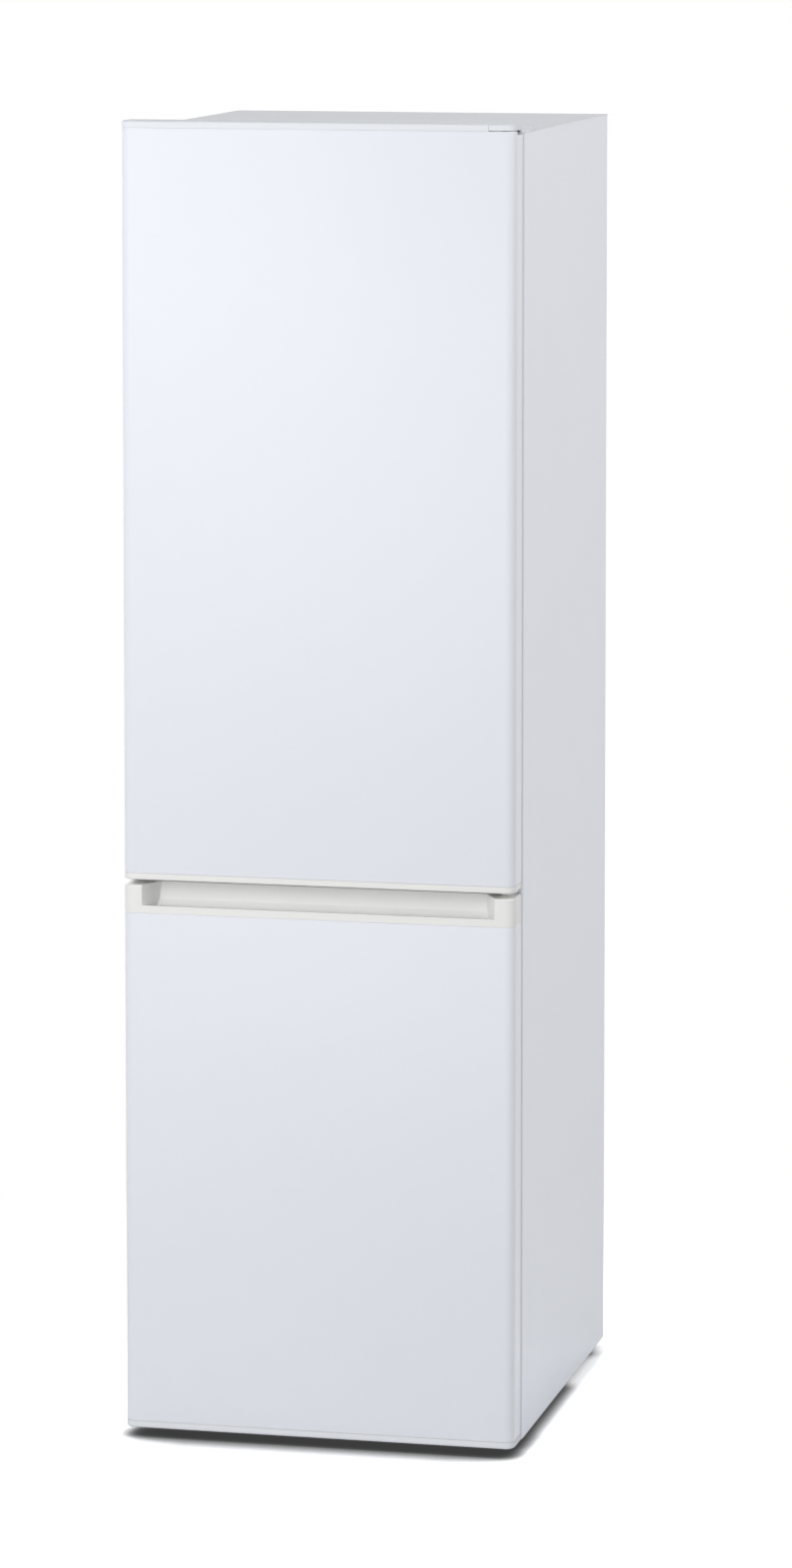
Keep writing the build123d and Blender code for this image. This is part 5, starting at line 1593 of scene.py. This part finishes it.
@dataclass
class Studio:
    """Pale floor, soft lamps and the camera.

    Attributes:
        lens: Focal length for a 36 mm frame on the long side, in millimetres.
        eye: Place of the camera in metres.
        yaw: Turn of the view from +Y towards -X, in degrees.
        pitch: Downward tilt of the view, in degrees.
        shift: Vertical lens shift.
        sight: Distance beyond which the camera shows nothing.
        floor_half: Half-width of the floor.
        floor_rough: Roughness of the floor.
        floor_grey: Colour of the floor as it lights the object.
        fade: Distances between which the seen floor runs out to white.
        seen_white: Lightness of the floor near the object, seen straight.
        mirrored_white: Lightness of the floor near the object, seen in a gloss or through glass.
        contact: Reach of the contact shadow painted into the floor's colour, beside the object and in front
            of it.
        contact_x: Distances from the middle between which the reach changes.
        contact_power: Steepness of the painted contact shadow.
        contact_glow: Strength of a faint painted glow over the whole floor, which lifts the darkest painted
            shadow.
        sky: Strength of the surrounding light at the horizon and overhead.
        sky_tint: Colour of the surrounding light.
    """

    lens: float = 138.12
    eye: Point = (1.6785, -7.1631, 1.9154)
    yaw: float = 12.95
    pitch: float = 5.231
    shift: float = -0.2465
    sight: float = 200.0
    floor_half: float = 40.0
    floor_rough: float = 0.9
    floor_grey: Colour = (0.5, 0.5, 0.5)
    fade: Pair = (0.5, 1.2)
    seen_white: float = 2.4
    mirrored_white: float = 1.6
    contact: Pair = (0.02, 0.06)
    contact_x: Pair = (0.25, 0.16)
    contact_power: float = 3.0
    contact_glow: float = 0.045
    sky: Pair = (0.85, 0.05)
    sky_tint: Colour = (0.96, 0.985, 1.0)

    def camera(self) -> None:
        """Sets the camera at the photograph's view."""
        data = bpy.data.cameras.new("camera")
        data.lens = self.lens
        data.sensor_fit = "AUTO"
        data.shift_y = self.shift
        data.clip_end = self.sight
        eye = add_object("camera", data)
        eye.location = self.eye
        eye.rotation_euler = (math.radians(90 - self.pitch), 0.0, math.radians(self.yaw))
        bpy.context.scene.camera = eye

    @staticmethod
    def seen_ray(tree: bpy.types.NodeTree) -> bpy.types.NodeSocket:
        """Gives a mask of the rays that show the background: straight, mirrored or through glass.

        Args:
            tree: The node tree of the floor or the world.

        Returns:
            The mask.
        """
        path = tree.nodes.new("ShaderNodeLightPath")
        seen = path.outputs["Is Camera Ray"]
        for name in ("Is Glossy Ray", "Is Transmission Ray"):
            seen = math_node(tree, "MAXIMUM", seen, path.outputs[name])
        return seen

    def painted_shadow_reach(self, shading: Shading) -> bpy.types.NodeSocket:
        """Gives the reach of the contact shadow painted into the floor, shorter beside the object than in
        front of it.

        Args:
            shading: The floor's nodes.

        Returns:
            The reach.
        """
        split = add_node(shading.tree, "ShaderNodeSeparateXYZ", shading.coords.outputs["Object"])
        aside = math_node(shading.tree, "ABSOLUTE", split.outputs["X"])
        return map_range(shading.tree, aside, self.contact_x, self.contact)

    def floor_white(self, tree: bpy.types.NodeTree) -> bpy.types.NodeSocket:
        """Gives the lightness of the floor, which is less in a gloss than seen straight."""
        straight = tree.nodes.new("ShaderNodeLightPath").outputs["Is Camera Ray"]
        return map_range(tree, straight, (0.0, 1.0), (self.mirrored_white, self.seen_white))

    def floor(self) -> None:
        """Lays the pale floor, with a contact shadow painted into its colour and a faint painted glow."""
        shading = Shading("pale floor")
        shading.constant(
            Roughness=self.floor_rough, Specular_IOR_Level=0.0,
            Emission_Color=WHITE, Emission_Strength=self.contact_glow,
        )
        tree = shading.tree
        # Painted shadow: ambient occlusion raised to a power darkens the floor's colour near the object.
        contact = add_node(tree, "ShaderNodeAmbientOcclusion", Distance=self.painted_shadow_reach(shading))
        depth = math_node(tree, "POWER", contact.outputs["AO"], self.contact_power)
        white_with_painted_shadow = math_node(tree, "MULTIPLY", depth, self.floor_white(tree))
        seen = self.seen_ray(tree)
        shading.feed(mix_colours(tree, seen, (*self.floor_grey, 1.0), white_with_painted_shadow), "Base Color")
        self.fade_to_white(shading, seen)
        mesh = bpy.data.meshes.new("floor")
        reach = self.floor_half
        corners = [(-reach, -reach, 0.0), (reach, -reach, 0.0), (reach, reach, 0.0), (-reach, reach, 0.0)]
        mesh.from_pydata(corners, [], [(0, 1, 2, 3)])
        mesh.materials.append(shading.material)
        add_object("floor", mesh)

    def fade_to_white(self, shading: Shading, seen: bpy.types.NodeSocket) -> None:
        """Lets the seen floor run out to plain white away from the object.

        Args:
            shading: The floor's nodes.
            seen: Mask of the rays that show the floor.
        """
        tree = shading.tree
        away = add_node(
            tree, "ShaderNodeVectorMath", shading.coords.outputs["Object"], settings={"operation": "LENGTH"}
        )
        fade = map_range(tree, away.outputs["Value"], self.fade, (0.0, 1.0), smooth=True)
        white = tree.nodes.new("ShaderNodeEmission")
        blend = add_node(
            tree, "ShaderNodeMixShader",
            math_node(tree, "MULTIPLY", fade, seen), shading.shader.outputs[0], white.outputs[0],
        )
        plug(tree, blend.outputs[0], tree.nodes["Material Output"].inputs["Surface"])

    def world(self) -> None:
        """Adds soft surrounding light, white where it is seen."""
        world = bpy.data.worlds.new("studio")
        bpy.context.scene.world = world
        world.use_nodes = True
        tree = world.node_tree
        coords = tree.nodes.new("ShaderNodeTexCoord")
        split = add_node(tree, "ShaderNodeSeparateXYZ", coords.outputs["Generated"])
        strength = map_range(tree, split.outputs["Z"], (0.0, 1.0), self.sky)
        light = add_node(
            tree, "ShaderNodeVectorMath", self.sky_tint, settings={"operation": "SCALE"}, Scale=strength
        )
        colour = mix_colours(tree, self.seen_ray(tree), light.outputs[0], WHITE)
        plug(tree, colour, tree.nodes["Background"].inputs["Color"])

    def build(self) -> None:
        """Makes the whole studio."""
        self.camera()
        self.floor()
        self.world()
        for lamp in LAMPS:
            lamp.hang()


HINGE_POCKET: tuple[Point, Point] = ((202.0, -272.0, 1579.2), (245.0, -240.0, 1590.0))

PANELS = (
    DoorPanel(
        "upper_door_panel", Body.UPPER_DOOR, "upper_door_skin", low=690.0, high=1584.0, notch=HINGE_POCKET
    ),
    DoorPanel("lower_door_panel", Body.LOWER_DOOR, "lower_door_skin", low=20.0, high=642.0),
)

GASKETS = (
    DoorGasket("upper_door_seal", Body.UPPER_DOOR, "upper_door_gasket", low=695.0, high=1547.0),
    DoorGasket("lower_door_seal", Body.LOWER_DOOR, "lower_door_gasket", low=55.0, high=663.0),
)

DRAWERS = (
    DrawerFlutes("crisper_drawer", Body.CRISPER),
    DrawerFlutes("freezer_drawer_top", Body.FREEZER_TOP),
    DrawerFlutes("freezer_drawer_middle", Body.FREEZER_MIDDLE),
    DrawerFlutes("freezer_drawer_bottom", Body.FREEZER_BOTTOM),
)


def main() -> None:
    """Builds the sub-assemblies in order."""
    logging.basicConfig(level=logging.INFO, format="%(message)s")
    bpy.context.scene.view_settings.view_transform = "Standard"
    Studio().build()
    dress_nodes()
    for panel in PANELS:
        panel.build()
    frames, screws, rods = FrameTree(), ScrewTree(), RodTree()
    for gasket in GASKETS:
        gasket.build(frames)
    Fasteners().build(screws)
    ControlFace().build(rods)
    for drawer in DRAWERS:
        drawer.build(rods)


if __name__ == "__main__":
    main()
